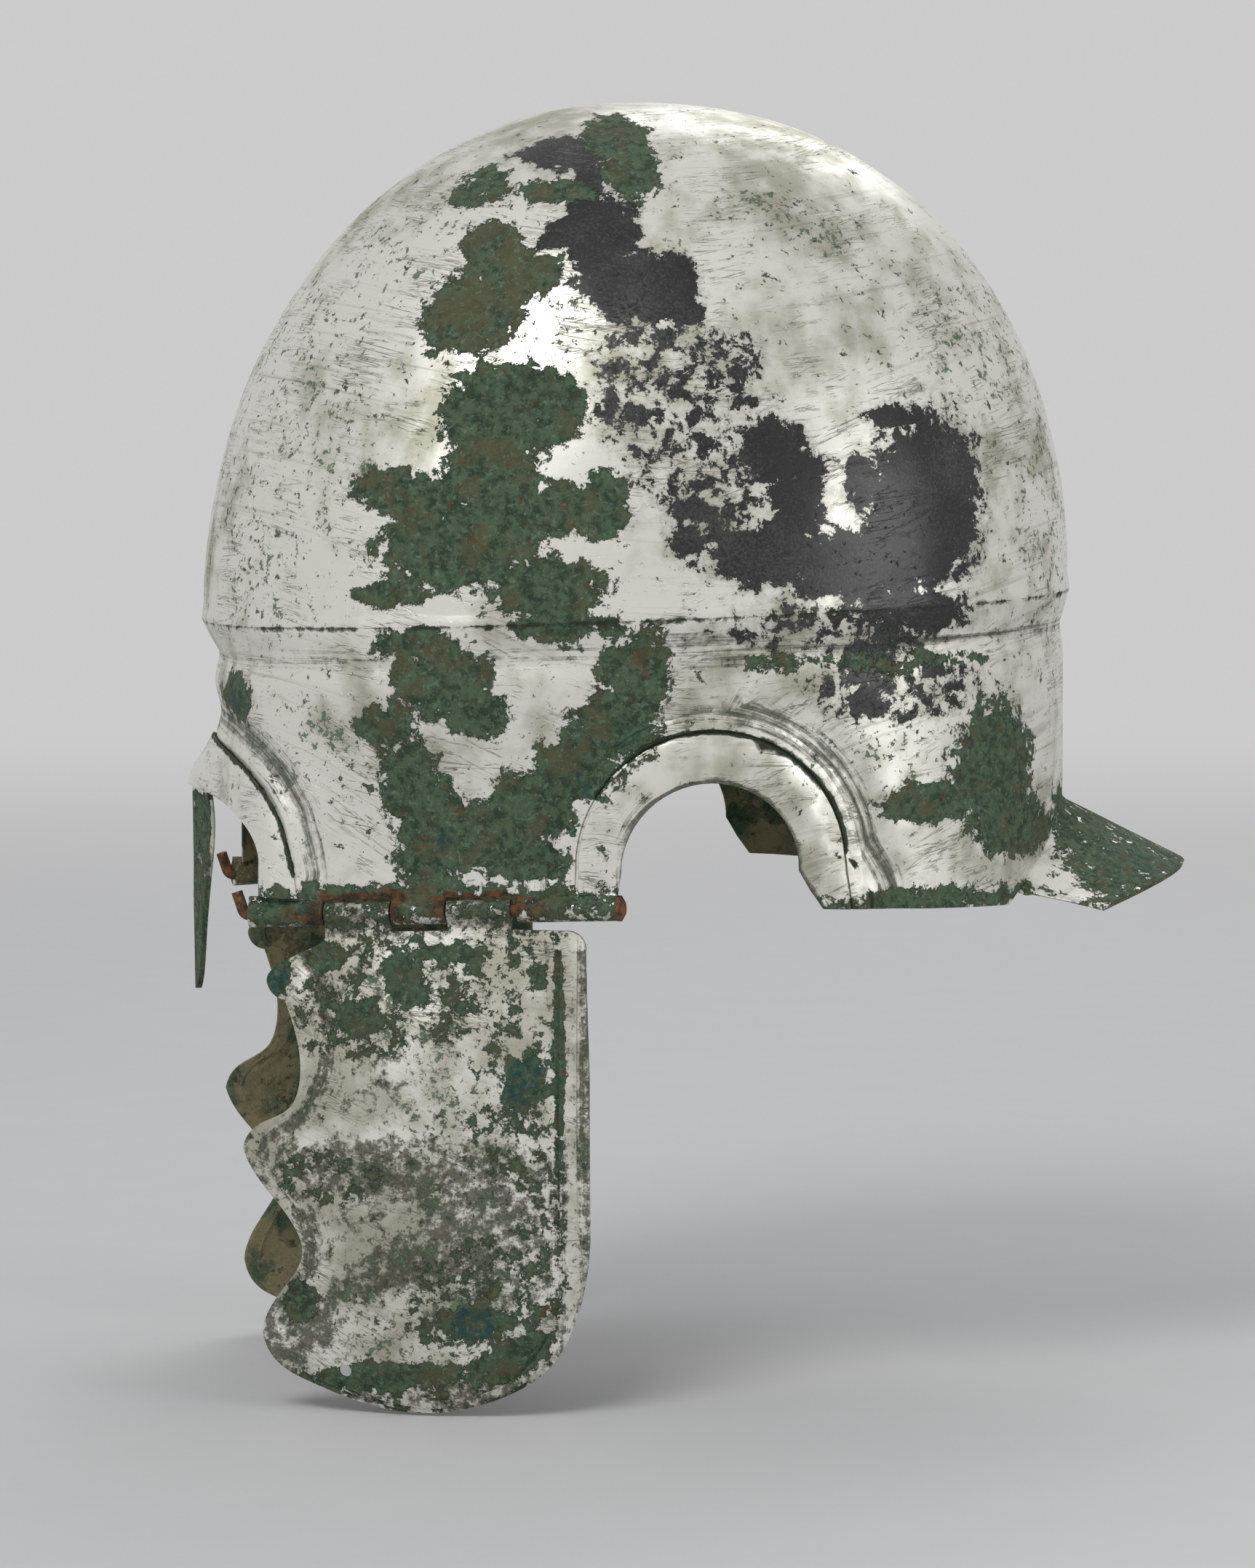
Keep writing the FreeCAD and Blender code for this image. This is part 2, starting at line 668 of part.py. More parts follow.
def add_solid(label, shape, placement):
    """A finished solid as an object of the document."""
    made = doc.addObject("Part::Feature", label)
    made.Label = label
    made.Shape = shape
    made.Placement = placement
    return made


def origin_plane(body, role):
    """One of a body's own base planes."""
    for feature in body.Origin.OriginFeatures:
        if feature.Role == role:
            return feature
    raise ValueError(role)


def sketch_on(body, role, name):
    """A sketch on one of the body's base planes."""
    sketch = doc.addObject("Sketcher::SketchObject", name)
    body.addObject(sketch)
    sketch.AttachmentSupport = [(origin_plane(body, role), "")]
    sketch.MapMode = "FlatFace"
    return sketch


def bind(sketch, kind, target, cells):
    """A measure of a sketch, tied to an expression of the sheet's cells."""
    value = float(sketch.evalExpression(cells))
    number = sketch.addConstraint(Sketcher.Constraint(kind, *target, value))
    sketch.setExpression("Constraints[%d]" % number, "(%s) * 1 mm" % cells)


def join(sketch, *ends):
    """Two ends of a sketch's edges that meet."""
    sketch.addConstraint(Sketcher.Constraint("Coincident", *ends))


def make_pin(label, placement):
    """The hinge pin: a headed wire whose front end is bent up."""
    body = doc.addObject("PartDesign::Body", label)
    body.Label = label
    lean = math.radians(90 - size("pin_tip_lean"))
    bend = size("pin_bend_radius")
    centre = Vector(0, bend, 0)
    turn = centre + Vector(-math.sin(lean), -math.cos(lean), 0) * bend
    tip = turn + Vector(-math.cos(lean), math.sin(lean), 0) * size("pin_tip_length")
    path = sketch_on(body, "XZ_Plane", label + "_path")
    path.addGeometry(Part.LineSegment(Vector(hinge_length, 0, 0), Vector(0, 0, 0)))
    path.addGeometry(Part.ArcOfCircle(Part.Circle(centre, Vector(0, 0, 1), bend),
                                      1.5 * math.pi - lean, 1.5 * math.pi))
    path.addGeometry(Part.LineSegment(turn, tip))
    path.addConstraint(Sketcher.Constraint("Horizontal", 0))
    join(path, 0, 2, -1, 1)
    path.addConstraint(Sketcher.Constraint("Tangent", 0, 2, 1, 2))
    path.addConstraint(Sketcher.Constraint("Tangent", 1, 1, 2, 1))
    bind(path, "Radius", (1,), "sizes.pin_bend_radius")
    bind(path, "Distance", (2,), "sizes.pin_tip_length")
    bind(path, "Distance", (0,), hinge_length_cells)
    section = sketch_on(body, "YZ_Plane", label + "_section")
    section.addGeometry(Part.Circle(Vector(0, 0, 0), Vector(0, 0, 1), 1))
    join(section, 0, 3, -1, 1)
    bind(section, "Diameter", (0,), "sizes.pin_diameter")
    shank = doc.addObject("PartDesign::AdditivePipe", label + "_shank")
    body.addObject(shank)
    shank.Profile = section
    shank.Spine = path
    head = sketch_on(body, "XZ_Plane", label + "_head")
    add_head_profile(head)
    turned = doc.addObject("PartDesign::Revolution", label + "_head_turned")
    body.addObject(turned)
    turned.Profile = head
    turned.ReferenceAxis = (head, ["H_Axis"])
    turned.Angle = 360
    body.Placement = placement
    return body


def add_head_profile(sketch):
    """Half of the nail head in section, with a chamfered rim."""
    foot = hinge_length
    radius = size("pin_head_diameter") / 2
    height = size("pin_head_height")
    corners = [Vector(foot, 0, 0), Vector(foot, radius, 0),
               Vector(foot + height / 2, radius, 0), Vector(foot + height, radius / 2, 0),
               Vector(foot + height, 0, 0)]
    count = len(corners)
    for i in range(count):
        sketch.addGeometry(Part.LineSegment(corners[i], corners[(i + 1) % count]))
    for i in range(count):
        join(sketch, i, 2, (i + 1) % count, 1)
    for i in (0, 3):
        sketch.addConstraint(Sketcher.Constraint("Vertical", i))
    for i in (1, 4):
        sketch.addConstraint(Sketcher.Constraint("Horizontal", i))
    bind(sketch, "DistanceX", (-1, 1, 0, 1), hinge_length_cells)
    sketch.addConstraint(Sketcher.Constraint("PointOnObject", 0, 1, -1))
    bind(sketch, "DistanceY", (0, 1, 0, 2), "sizes.pin_head_diameter / 2")
    bind(sketch, "DistanceX", (1, 1, 1, 2), "sizes.pin_head_height / 2")
    bind(sketch, "DistanceX", (4, 2, 4, 1), "sizes.pin_head_height")
    bind(sketch, "DistanceY", (3, 2, 3, 1), "sizes.pin_head_diameter / 4")


def right_side(placement):
    """The same placement on the wearer's right, for a piece that is its own mirror image."""
    base = placement.Base
    turn = Rotation(Vector(0, 0, 1), math.degrees(hinge_toe))
    pitch = Rotation(Vector(0, 1, 0), -math.degrees(hinge_pitch))
    return Placement(Vector(base.x, -base.y, base.z), turn.multiply(pitch))


bowl = add_solid("bowl", make_bowl(), Placement())
left_cheek = add_solid("left_cheek", make_cheek(), hinge_placement(0))
right_cheek = doc.addObject("Part::Mirroring", "right_cheek")
right_cheek.Label = "right_cheek"
right_cheek.Source = left_cheek
right_cheek.Normal = Vector(0, 1, 0)
pin_placement = hinge_placement(0)
left_pin = make_pin("left_hinge_pin", pin_placement)
right_pin = make_pin("right_hinge_pin", right_side(pin_placement))
doc.recompute()

pieces = [bowl, left_cheek, right_cheek, left_pin, right_pin]
for made in doc.Objects:
    if "Invalid" in made.State or "Error" in made.State:
        raise RuntimeError("%s did not build" % made.Label)
for piece in pieces:
    shape = piece.Shape
    if shape.isNull() or not shape.isValid():
        raise RuntimeError("%s is not a sound solid" % piece.Label)
for piece in pieces:
    piece.Shape.exportStep("parts/%s.step" % piece.Label)
    print(piece.Label, round(piece.Shape.Volume), len(piece.Shape.Solids))
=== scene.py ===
# Looks of the chalcidian helmet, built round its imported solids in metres.
# The face looks along -X, the wearer's left is at -Y and +Z is up.
# Shapes are worked out in millimetres and scaled when the mesh is made.
# Each sheet is a copy of its solid's own surface, welded, split finer and worked over.

import math

import bpy
import numpy as np
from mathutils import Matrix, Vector


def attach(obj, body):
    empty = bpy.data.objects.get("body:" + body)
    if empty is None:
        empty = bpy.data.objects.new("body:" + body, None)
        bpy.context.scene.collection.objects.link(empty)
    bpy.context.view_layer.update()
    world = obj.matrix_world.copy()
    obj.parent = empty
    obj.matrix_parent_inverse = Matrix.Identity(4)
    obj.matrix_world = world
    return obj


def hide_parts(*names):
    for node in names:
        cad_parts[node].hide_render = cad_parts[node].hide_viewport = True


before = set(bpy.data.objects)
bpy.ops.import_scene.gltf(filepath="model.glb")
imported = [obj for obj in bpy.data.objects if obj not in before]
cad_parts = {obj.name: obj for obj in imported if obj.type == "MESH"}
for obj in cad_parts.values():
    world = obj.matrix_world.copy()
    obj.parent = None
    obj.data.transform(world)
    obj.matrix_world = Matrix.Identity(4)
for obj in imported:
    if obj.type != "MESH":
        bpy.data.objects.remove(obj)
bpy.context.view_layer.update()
mm = 0.001
print("stage: frame loaded")


# Camera, fitted to the photograph: degrees, metres, the photograph's pixels, and
# millimetres for the sensor
camera = {
    "azimuth": -5.5,
    "elevation": 4.4,
    "distance": 1.8,
    "target": Vector((-0.00241, 0, 0.0276)),
    "photoWidth": 1725,
    "focalPixels": 9000,
    "sensorWidth": 36,
    "farEnd": 20,
}


def addCamera():
    # Stands back from the target along the line of sight. The lens is the focal length in
    # the photograph's pixels, over the photograph's width, times the sensor's width
    azimuth = math.radians(camera["azimuth"])
    elevation = math.radians(camera["elevation"])
    data = bpy.data.cameras.new("photoCamera")
    data.sensor_fit = "HORIZONTAL"
    data.sensor_width = camera["sensorWidth"]
    data.lens = camera["focalPixels"] / camera["photoWidth"] * camera["sensorWidth"]
    data.clip_end = camera["farEnd"]
    made = bpy.data.objects.new("photoCamera", data)
    bpy.context.scene.collection.objects.link(made)
    # From the target towards the camera: azimuth 0 looks along +Y
    back = Vector((math.sin(azimuth) * math.cos(elevation),
                   -math.cos(azimuth) * math.cos(elevation),
                   math.sin(elevation)))
    made.location = camera["target"] + back * camera["distance"]
    made.rotation_euler = back.to_track_quat("Z", "Y").to_euler()
    bpy.context.scene.camera = made


addCamera()
bpy.context.scene.view_settings.view_transform = "Standard"
print("stage: camera")


# Studio: a pale floor that fades into a pale surround, a soft sky and three soft lamps
studio = {
    "floorHeight": -0.1332,
    "floorRadius": 9.0,
    "floorSides": 64,
    "floorColour": (0.70, 0.70, 0.69, 1),
    "floorDarker": 0.96,
    "floorNoise": (40, 3),
    "floorRough": 0.8,
    "fadeStart": 0.7,
    "fadeEnd": 2.6,
    "skyColour": (0.93, 0.95, 1.0, 1),
    "skyStrength": 0.42,
    "surround": (0.60, 0.60, 0.60, 1),
    "lamps": [
        # name, place, size, watts
        ("keyLamp", (-0.8, -1.35, 1.5), 0.95, 17),
        ("fillLamp", (1.3, -1.2, 0.3), 0.9, 5),
        ("backLamp", (0.5, 1.2, 1.2), 0.9, 5),
    ],
}


def addLamp(name, place, size, watts):
    # A round lamp that shines from its place at the camera's target
    data = bpy.data.lights.new(name, "AREA")
    data.shape = "DISK"
    data.size = size
    data.energy = watts
    made = bpy.data.objects.new(name, data)
    bpy.context.scene.collection.objects.link(made)
    made.location = place
    aim = Vector(place) - camera["target"]
    made.rotation_euler = aim.to_track_quat("Z", "Y").to_euler()


def fillMesh(name, points, faces):
    # Points in millimetres, and faces as rows of point numbers, all rows of one length
    mesh = bpy.data.meshes.new(name)
    corners = faces.shape[1]
    mesh.vertices.add(len(points))
    mesh.vertices.foreach_set("co", (points * mm).astype(np.float32).ravel())
    mesh.loops.add(faces.size)
    mesh.loops.foreach_set("vertex_index", faces.astype(np.int32).ravel())
    mesh.polygons.add(len(faces))
    starts = np.arange(0, faces.size, corners, dtype=np.int32)
    mesh.polygons.foreach_set("loop_start", starts)
    mesh.update(calc_edges=True)
    mesh.validate()
    return mesh


def addObject(mesh, material):
    # An object at the origin, with the mesh's name and one material
    made = bpy.data.objects.new(mesh.name, mesh)
    mesh.materials.append(material)
    bpy.context.scene.collection.objects.link(made)
    return made


# Node helpers: a value is a plain number, a colour or another node's socket
def wire(tree, value, socket):
    # Links a socket, or sets the number or colour
    if isinstance(value, bpy.types.NodeSocket):
        tree.links.new(value, socket)
    elif value is not None:
        socket.default_value = value


def worked(tree, kind, a, b=None, clamp=False):
    # One step of arithmetic, held between 0 and 1 where clamped
    made = tree.nodes.new("ShaderNodeMath")
    made.operation = kind
    made.use_clamp = clamp
    wire(tree, a, made.inputs[0])
    wire(tree, b, made.inputs[1])
    return made.outputs[0]


def plus(tree, a, b, clamp=False):
    # a + b
    return worked(tree, "ADD", a, b, clamp)


def minus(tree, a, b):
    # a - b
    return worked(tree, "SUBTRACT", a, b)


def times(tree, a, b, clamp=False):
    # a times b
    return worked(tree, "MULTIPLY", a, b, clamp)


def largest(tree, first, *others):
    # The largest of several values
    for value in others:
        first = worked(tree, "MAXIMUM", first, value)
    return first


def mixed(tree, share, a, b):
    # Colour a where the share is 0 and colour b where it is 1. A colour mix has its two
    # colours on sockets 6 and 7, and its result on socket 2
    made = tree.nodes.new("ShaderNodeMix")
    made.data_type = "RGBA"
    wire(tree, share, made.inputs[0])
    wire(tree, a, made.inputs[6])
    wire(tree, b, made.inputs[7])
    return made.outputs[2]


def ramp(tree, value, low, high):
    # 0 below low, 1 above high and a soft S between
    made = tree.nodes.new("ShaderNodeMapRange")
    made.interpolation_type = "SMOOTHSTEP"
    wire(tree, value, made.inputs["Value"])
    wire(tree, low, made.inputs["From Min"])
    wire(tree, high, made.inputs["From Max"])
    return made.outputs["Result"]


def noise(tree, place, scale, detail=4.0, rough=0.55, twist=0.0):
    # Cloudy noise about 0.5, with the scale in clouds per metre
    made = tree.nodes.new("ShaderNodeTexNoise")
    wire(tree, place, made.inputs["Vector"])
    made.inputs["Scale"].default_value = scale
    made.inputs["Detail"].default_value = detail
    made.inputs["Roughness"].default_value = rough
    made.inputs["Distortion"].default_value = twist
    return made.outputs["Fac"]


def field(tree, name):
    # One of the sheet's own values, stored at its points
    made = tree.nodes.new("ShaderNodeAttribute")
    made.attribute_name = name
    return made.outputs["Fac"]


def objectPlace(tree):
    # The place on the object, in metres
    return tree.nodes.new("ShaderNodeTexCoord").outputs["Object"]


def split(tree, place):
    # The x, y and z of a place
    made = tree.nodes.new("ShaderNodeSeparateXYZ")
    wire(tree, place, made.inputs[0])
    return made.outputs


def joined(tree, x, y, z):
    # A place from its x, y and z
    made = tree.nodes.new("ShaderNodeCombineXYZ")
    for value, socket in zip((x, y, z), made.inputs):
        wire(tree, value, socket)
    return made.outputs[0]


def lengthwise(tree, place, along, upward, slant):
    # Stretched coordinates for scratches: x and y times along, and upward times the height
    # less the radius plus slant times x. Level round the wall and ringed on the dome
    x, y, z = split(tree, place)
    radius = worked(tree, "SQRT", plus(tree, times(tree, x, x), times(tree, y, y)))
    rise = plus(tree, minus(tree, z, radius), times(tree, x, slant))
    return joined(tree, times(tree, x, along), times(tree, y, along),
                  times(tree, rise, upward))


def newMaterial(name):
    # A material with its node tree and its main shader
    made = bpy.data.materials.new(name)
    made.use_nodes = True
    tree = made.node_tree
    return made, tree, tree.nodes["Principled BSDF"]


def addBump(tree, shader, height):
    # Tilts the surface by the slope of a height in millimetres
    made = tree.nodes.new("ShaderNodeBump")
    made.inputs["Strength"].default_value = 1.0
    made.inputs["Distance"].default_value = mm
    wire(tree, height, made.inputs["Height"])
    tree.links.new(made.outputs["Normal"], shader.inputs["Normal"])


def seenDirectly(tree):
    # 1 for what the camera or a reflection sees, 0 for light on its way to a surface
    rays = tree.nodes.new("ShaderNodeLightPath").outputs
    return largest(tree, rays["Is Camera Ray"], rays["Is Glossy Ray"],
                   rays["Is Transmission Ray"])


def addFloor():
    # A flat disc of narrow triangles round the middle, pale and a little mottled
    made, tree, shader = newMaterial("paleFloor")
    place = objectPlace(tree)
    base = studio["floorColour"]
    darker = tuple(c * studio["floorDarker"] for c in base[:3]) + (1,)
    wire(tree, mixed(tree, noise(tree, place, *studio["floorNoise"]), darker, base),
         shader.inputs["Base Color"])
    shader.inputs["Roughness"].default_value = studio["floorRough"]
    # Far from the object the floor takes on the surround's own colour
    flatLength = tree.nodes.new("ShaderNodeVectorMath")
    flatLength.operation = "LENGTH"
    tree.links.new(place, flatLength.inputs[0])
    away = ramp(tree, flatLength.outputs["Value"], studio["fadeStart"], studio["fadeEnd"])
    glow = tree.nodes.new("ShaderNodeEmission")
    glow.inputs["Color"].default_value = studio["surround"]
    wire(tree, seenDirectly(tree), glow.inputs["Strength"])
    blend = tree.nodes.new("ShaderNodeMixShader")
    wire(tree, away, blend.inputs[0])
    tree.links.new(shader.outputs[0], blend.inputs[1])
    tree.links.new(glow.outputs[0], blend.inputs[2])
    tree.links.new(blend.outputs[0], tree.nodes["Material Output"].inputs["Surface"])

    sides = studio["floorSides"]
    turns = np.linspace(0, 2 * math.pi, sides + 1)[:-1]
    radius = studio["floorRadius"] / mm
    points = np.stack([radius * np.cos(turns), radius * np.sin(turns), 0 * turns], axis=1)
    points = np.concatenate([points, [[0, 0, 0]]]) + (0, 0, studio["floorHeight"] / mm)
    i = np.arange(sides)
    faces = np.stack([i, (i + 1) % sides, np.full(sides, sides)], axis=1)
    addObject(fillMesh("studioFloor", points, faces), made)


def addSky():
    # The surround's colour at full strength where it is seen, a soft sky as light
    world = bpy.data.worlds.new("studioSky")
    world.use_nodes = True
    tree = world.node_tree
    direct = seenDirectly(tree)
    background = tree.nodes["Background"]
    wire(tree, mixed(tree, direct, studio["skyColour"], studio["surround"]),
         background.inputs["Color"])
    extra = times(tree, direct, 1 - studio["skyStrength"])
    wire(tree, plus(tree, studio["skyStrength"], extra), background.inputs["Strength"])
    bpy.context.scene.world = world


addFloor()
addSky()
for lamp in studio["lamps"]:
    addLamp(*lamp)
print("stage: studio")


# Sheet metal: the solids' own surfaces, welded, made finer and worked over
sheetWork = {
    "creaseAngle": math.radians(38),
    "weldSteps": 1000,          # steps per millimetre to which points are welded
    "curving": 0.5,             # how far new points go towards the tangent planes
    "rimSoft": 0.3,             # how softly the inner skin's finish ends at the rim
    "noPatch": -0.5,            # the value far from every patch
    "patchMiddle": 1.5,         # the value in the middle of an oval, before it is cut off
    "patchTop": 0.95,
    "dentSeed": 7,
    "dentWaves": 26,
    "dentLongest": 46.0,
    "dentShortest": 12.0,
    "dentStart": 6.28,          # radians within which a wave may start
    "dentCalm": 1.6,
    # The left pin's axis: a point at its front and its direction
    "hingeFront": np.array([-108.5, -60.0, -1.75]),
    "hingeAlong": np.array([0.958741, -0.282082, 0.035282]),
}


def weldedSheet(node):
    # A copy of the solid's triangles, with the points that coincide made one
    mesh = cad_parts[node].data
    points = np.zeros(len(mesh.vertices) * 3, np.float32)
    mesh.vertices.foreach_get("co", points)
    points = points.reshape(-1, 3).astype(float) / mm
    corners = np.zeros(len(mesh.loops), np.int32)
    mesh.loops.foreach_get("vertex_index", corners)
    whole = np.round(points * sheetWork["weldSteps"]).astype(np.int64)
    first, number = np.unique(whole, axis=0, return_index=True, return_inverse=True)[1:]
    faces = number.reshape(-1)[corners].reshape(-1, 3)
    sound = (faces != np.roll(faces, -1, axis=1)).all(axis=1)
    return points[first], faces[sound]


def cornerNormals(points, faces):
    # Normals at each corner of each face, split where the sheet is creased
    mesh = fillMesh("normalsOnly", points, faces)
    mesh.shade_smooth()
    mesh.set_sharp_from_angle(angle=sheetWork["creaseAngle"])
    found = np.zeros(len(mesh.loops) * 3, np.float32)
    mesh.corner_normals.foreach_get("vector", found)
    bpy.data.meshes.remove(mesh)
    return found.reshape(-1, 3, 3).astype(float)


def finerSheet(points, faces):
    # Each triangle becomes four. A new point is the middle of its edge, moved halfway
    # towards the tangent planes at the edge's two ends, so that curved sheet stays curved.
    # Where the two faces of an edge give different points, their mean is taken
    normals = cornerNormals(points, faces)
    ends = np.roll(faces, -1, axis=1)
    endNormals = np.roll(normals, -1, axis=1)
    middle = (points[faces] + points[ends]) / 2
    lift = ((points[faces] - middle) * normals).sum(2, keepdims=True) * normals
    lift += ((points[ends] - middle) * endNormals).sum(2, keepdims=True) * endNormals
    middle = (middle + sheetWork["curving"] * lift / 2).reshape(-1, 3)
    low = np.minimum(faces, ends).astype(np.int64)
    high = np.maximum(faces, ends)
    keys = (low * len(points) + high).reshape(-1)
    number = np.unique(keys, return_inverse=True)[1].reshape(-1)
    count = np.bincount(number).astype(float)
    made = np.stack([np.bincount(number, middle[:, k]) / count for k in range(3)], axis=1)
    ab, bc, ca = (number.reshape(-1, 3) + len(points)).T
    a, b, c = faces.T
    finer = np.concatenate([np.stack(corners, axis=1) for corners in
                            ((a, ab, ca), (ab, b, bc), (ca, bc, c), (ab, bc, ca))])
    return np.concatenate([points, made]), finer


def pointNormals(points, faces):
    # The mean of the faces round each point, each counted by its area
    side = np.cross(points[faces[:, 1]] - points[faces[:, 0]],
                    points[faces[:, 2]] - points[faces[:, 0]])
    total = np.zeros_like(points)
    for k in range(3):
        np.add.at(total, faces[:, k], side)
    return total / np.maximum(np.linalg.norm(total, axis=1, keepdims=True), 1e-9)


def softStep(value):
    # Three squares less two cubes of the value, held between 0 and 1
    value = np.clip(value, 0, 1)
    return value * value * (3 - 2 * value)


def bell(value, middle, wide):
    # e to the minus square of the distance from the middle, in half-widths
    return np.exp(-((value - middle) / wide) ** 2)


def fold(value, shape):
    # A bell as high, as far from 0 and as wide as the shape's three numbers say
    high, middle, wide = shape
    return high * bell(value, middle, wide)


def highest(*values):
    # The largest value at each point
    return np.maximum.reduce(values)


def lowest(*values):
    # The smallest value at each point
    return np.minimum.reduce(values)


def innerShare(facing):
    # 1 where the sheet faces inward, 0 where it faces outward and a soft step at its rim
    return 1 - softStep(facing / sheetWork["rimSoft"] + 0.5)


def dents(points):
    # Hammer work from about -1 to 1: the sum of many slanting sine waves, from the longest
    # to the shortest, over the root of their count and over a calming number
    rng = np.random.default_rng(sheetWork["dentSeed"])
    total = np.zeros(len(points))
    count = sheetWork["dentWaves"]
    for i in range(count):
        way = rng.normal(size=3)
        way /= np.linalg.norm(way)
        share = i / (count - 1)
        long = sheetWork["dentLongest"] * (1 - share) + sheetWork["dentShortest"] * share
        start = rng.uniform(0, sheetWork["dentStart"])
        total += np.sin(points @ way * 2 * math.pi / long + start)
    return total / math.sqrt(count) / sheetWork["dentCalm"]


def lineDistance(x, z, line):
    # Distance in the side view to the nearest of the straight pieces of a line
    nearest = np.full(len(x), np.inf)
    for (ax, az), (bx, bz) in zip(line[:-1], line[1:]):
        dx, dz = bx - ax, bz - az
        share = np.clip(((x - ax) * dx + (z - az) * dz) / (dx * dx + dz * dz), 0, 1)
        nearest = np.minimum(nearest, np.hypot(x - ax - share * dx, z - az - share * dz))
    return nearest


def hingeDistance(points):
    # Distance to the pin's axis on the point's own side, and the place along that axis
    near = points.copy()
    near[:, 1] = -np.abs(points[:, 1])
    away = near - sheetWork["hingeFront"]
    along = away @ sheetWork["hingeAlong"]
    off = away - along[:, None] * sheetWork["hingeAlong"]
    return np.linalg.norm(off, axis=1), along


def patchField(x, z, patches, top=sheetWork["patchTop"]):
    # The middle's value less the distance from the oval's middle in its half-sizes, so
    # 0.5 on its edge. The highest of all the ovals counts, up to the top
    value = np.full(len(x), sheetWork["noPatch"])
    for cx, cz, rx, rz, turn in patches:
        c, s = math.cos(math.radians(turn)), math.sin(math.radians(turn))
        along = (x - cx) * c + (z - cz) * s
        across = (z - cz) * c - (x - cx) * s
        distance = np.hypot(along / rx, across / rz)
        value = np.maximum(value, sheetWork["patchMiddle"] - distance)
    return np.minimum(value, top)


def spotField(x, z, patches, share):
    # The patch field without what is below 0, times a share
    return np.clip(patchField(x, z, patches), 0, 1) * share


# Colours of the old metal: bright tinned skin, green crust, black tarnish, and brown grime
# that also serves as painted shade in valleys, grooves and creases
finish = {
    "bright": (0.84, 0.83, 0.76, 1),
    "dull": (0.44, 0.43, 0.34, 1),
    "scratch": (0.17, 0.16, 0.11, 1),
    "pit": (0.035, 0.045, 0.030, 1),
    "crust": (0.105, 0.170, 0.092, 1),
    "crustDeep": (0.026, 0.058, 0.030, 1),
    "crustOlive": (0.140, 0.125, 0.060, 1),
    "crustPale": (0.200, 0.300, 0.210, 1),
    "crustRust": (0.170, 0.060, 0.025, 1),
    "crustBlue": (0.022, 0.085, 0.078, 1),
    "black": (0.014, 0.015, 0.014, 1),
    "blackGrey": (0.050, 0.050, 0.048, 1),
    "grimeAndShade": (0.140, 0.118, 0.060, 1),
    "grimeAndShadeDark": (0.030, 0.028, 0.016, 1),
    "inner": (0.230, 0.200, 0.105, 1),
    "innerGreen": (0.060, 0.110, 0.060, 1),
    "innerDark": (0.045, 0.038, 0.020, 1),
    "rust": (0.210, 0.085, 0.030, 1),
}

# Noises of the finish: clouds per metre, detail, roughness and twist
grains = {
    "broad": (28, 3),
    "cloud": (110, 5, 0.6),
    "ragged": (190, 9, 0.72, 0.4),
    "mottled": (330, 8, 0.75),
    "sand": (1300, 4, 0.6),
    "worn": (60, 5, 0.65),
    "flecks": (480, 7, 0.72, 0.3),
    "pale": (620, 6, 0.7, 0.3),
    "rusty": (240, 7, 0.75, 0.8),
    "bluish": (300, 7, 0.72),
}

# Stretched noises: along the form, across it and slant, then detail, roughness and twist
strokes = {
    "rubbed": ((14, 330, 0), (3, 0.55, 0.9)),
    "level": ((34, 700, 0.10), (4, 0.6, 0.8)),
    "slanting": ((44, 520, -0.28), (4, 0.6, 1.0)),
}

# Layers of the finish: the value at which a layer starts to show, the one at which it is
# full, and how much of what lies below it covers there
layers = {
    "dull": (0.72, 1.06, 1),
    "rubbed": (0.56, 0.80, 0.42),
    "scratch": (0.004, 0.024, 0.8),
    "worn": (0.46, 0.60, 1),
    # Grime and painted shade, then its brown and green parts
    "grimeAndShade": (0.34, 0.78, 0.88),
    "grimeAndShadeBrown": (0.44, 0.66, 1),
    "grimeAndShadeGreen": (0.46, 0.56, 0.6),
    "pits": (0.645, 0.675, 0.92),
    "pitGreen": (0.45, 0.58, 1),
    "halo": (0.10, 0.50, 0.30),
    "black": (0.47, 0.53, 1),
    "blackGrey": (0.80, 1.05, 1),
    "crust": (0.46, 0.52, 1),
    "crustLight": (0.40, 0.58, 1),
    "crustOlive": (0.79, 0.96, 0.7),
    "crustPale": (0.53, 0.66, 0.7),
    "crustRust": (0.59, 0.66, 1),
    "crustBlue": (0.95, 1.1, 1),
    "crustRim": (0.50, 0.68, 0.65),
    "groove": (0.45, 0.62, 1),
    "grooveGreen": (0.42, 0.6, 1),
    "rust": (0.42, 0.62, 1),
    "rustBright": (0.40, 0.60, 1),
    "innerGreen": (0.42, 0.62, 1),
    "innerDark": (0.52, 0.66, 1),
}

# How far a noise moves a layer's edge: the noise's middle, and its share
sways = {
    "fine": (0.48, 1.2),
    "ragged": (0.46, 2.3),
    "grimeAndShadeStreaks": (0.5, 1.7),
    "grimeAndShadeRagged": (0.5, 0.9),
    "pitCloud": (0.5, 0.35),
    "grooveRagged": (0.5, 1.1),
    "rustRagged": (0.5, 1.3),
}

# Other numbers of the finish
wear = {
    "dullCloud": 0.6,
    "levelMiddle": 0.42,
    "slantingMiddle": 0.60,
    "streakLength": 24,
    "streakFollow": 0.75,
    "streakNoise": (1, 6, 0.68),
    "pitShare": 0.36,
    "greyBroad": 0.7,
    "oliveRagged": 0.6,
}

# Shine: the bright skin is soft metal, black is glossy, crust and grime are matt
shine = {"metallic": 0.62, "skinRough": 0.34, "dullRough": 0.14, "blackSmooth": 0.10,
         "mattRough": 0.45}

# Heights of the bump in millimetres
heights = {"crustFoot": 0.35, "crustGrain": 1.5, "grimeAndShade": 0.18, "scratch": -0.05,
           "pits": -0.08, "groove": -0.35, "inside": 0.35, "sand": 0.02}


def maskOf(tree, value, key):
    # 0 where the layer doesn't show, 1 where it is full and a soft step between
    return ramp(tree, value, *layers[key][:2])


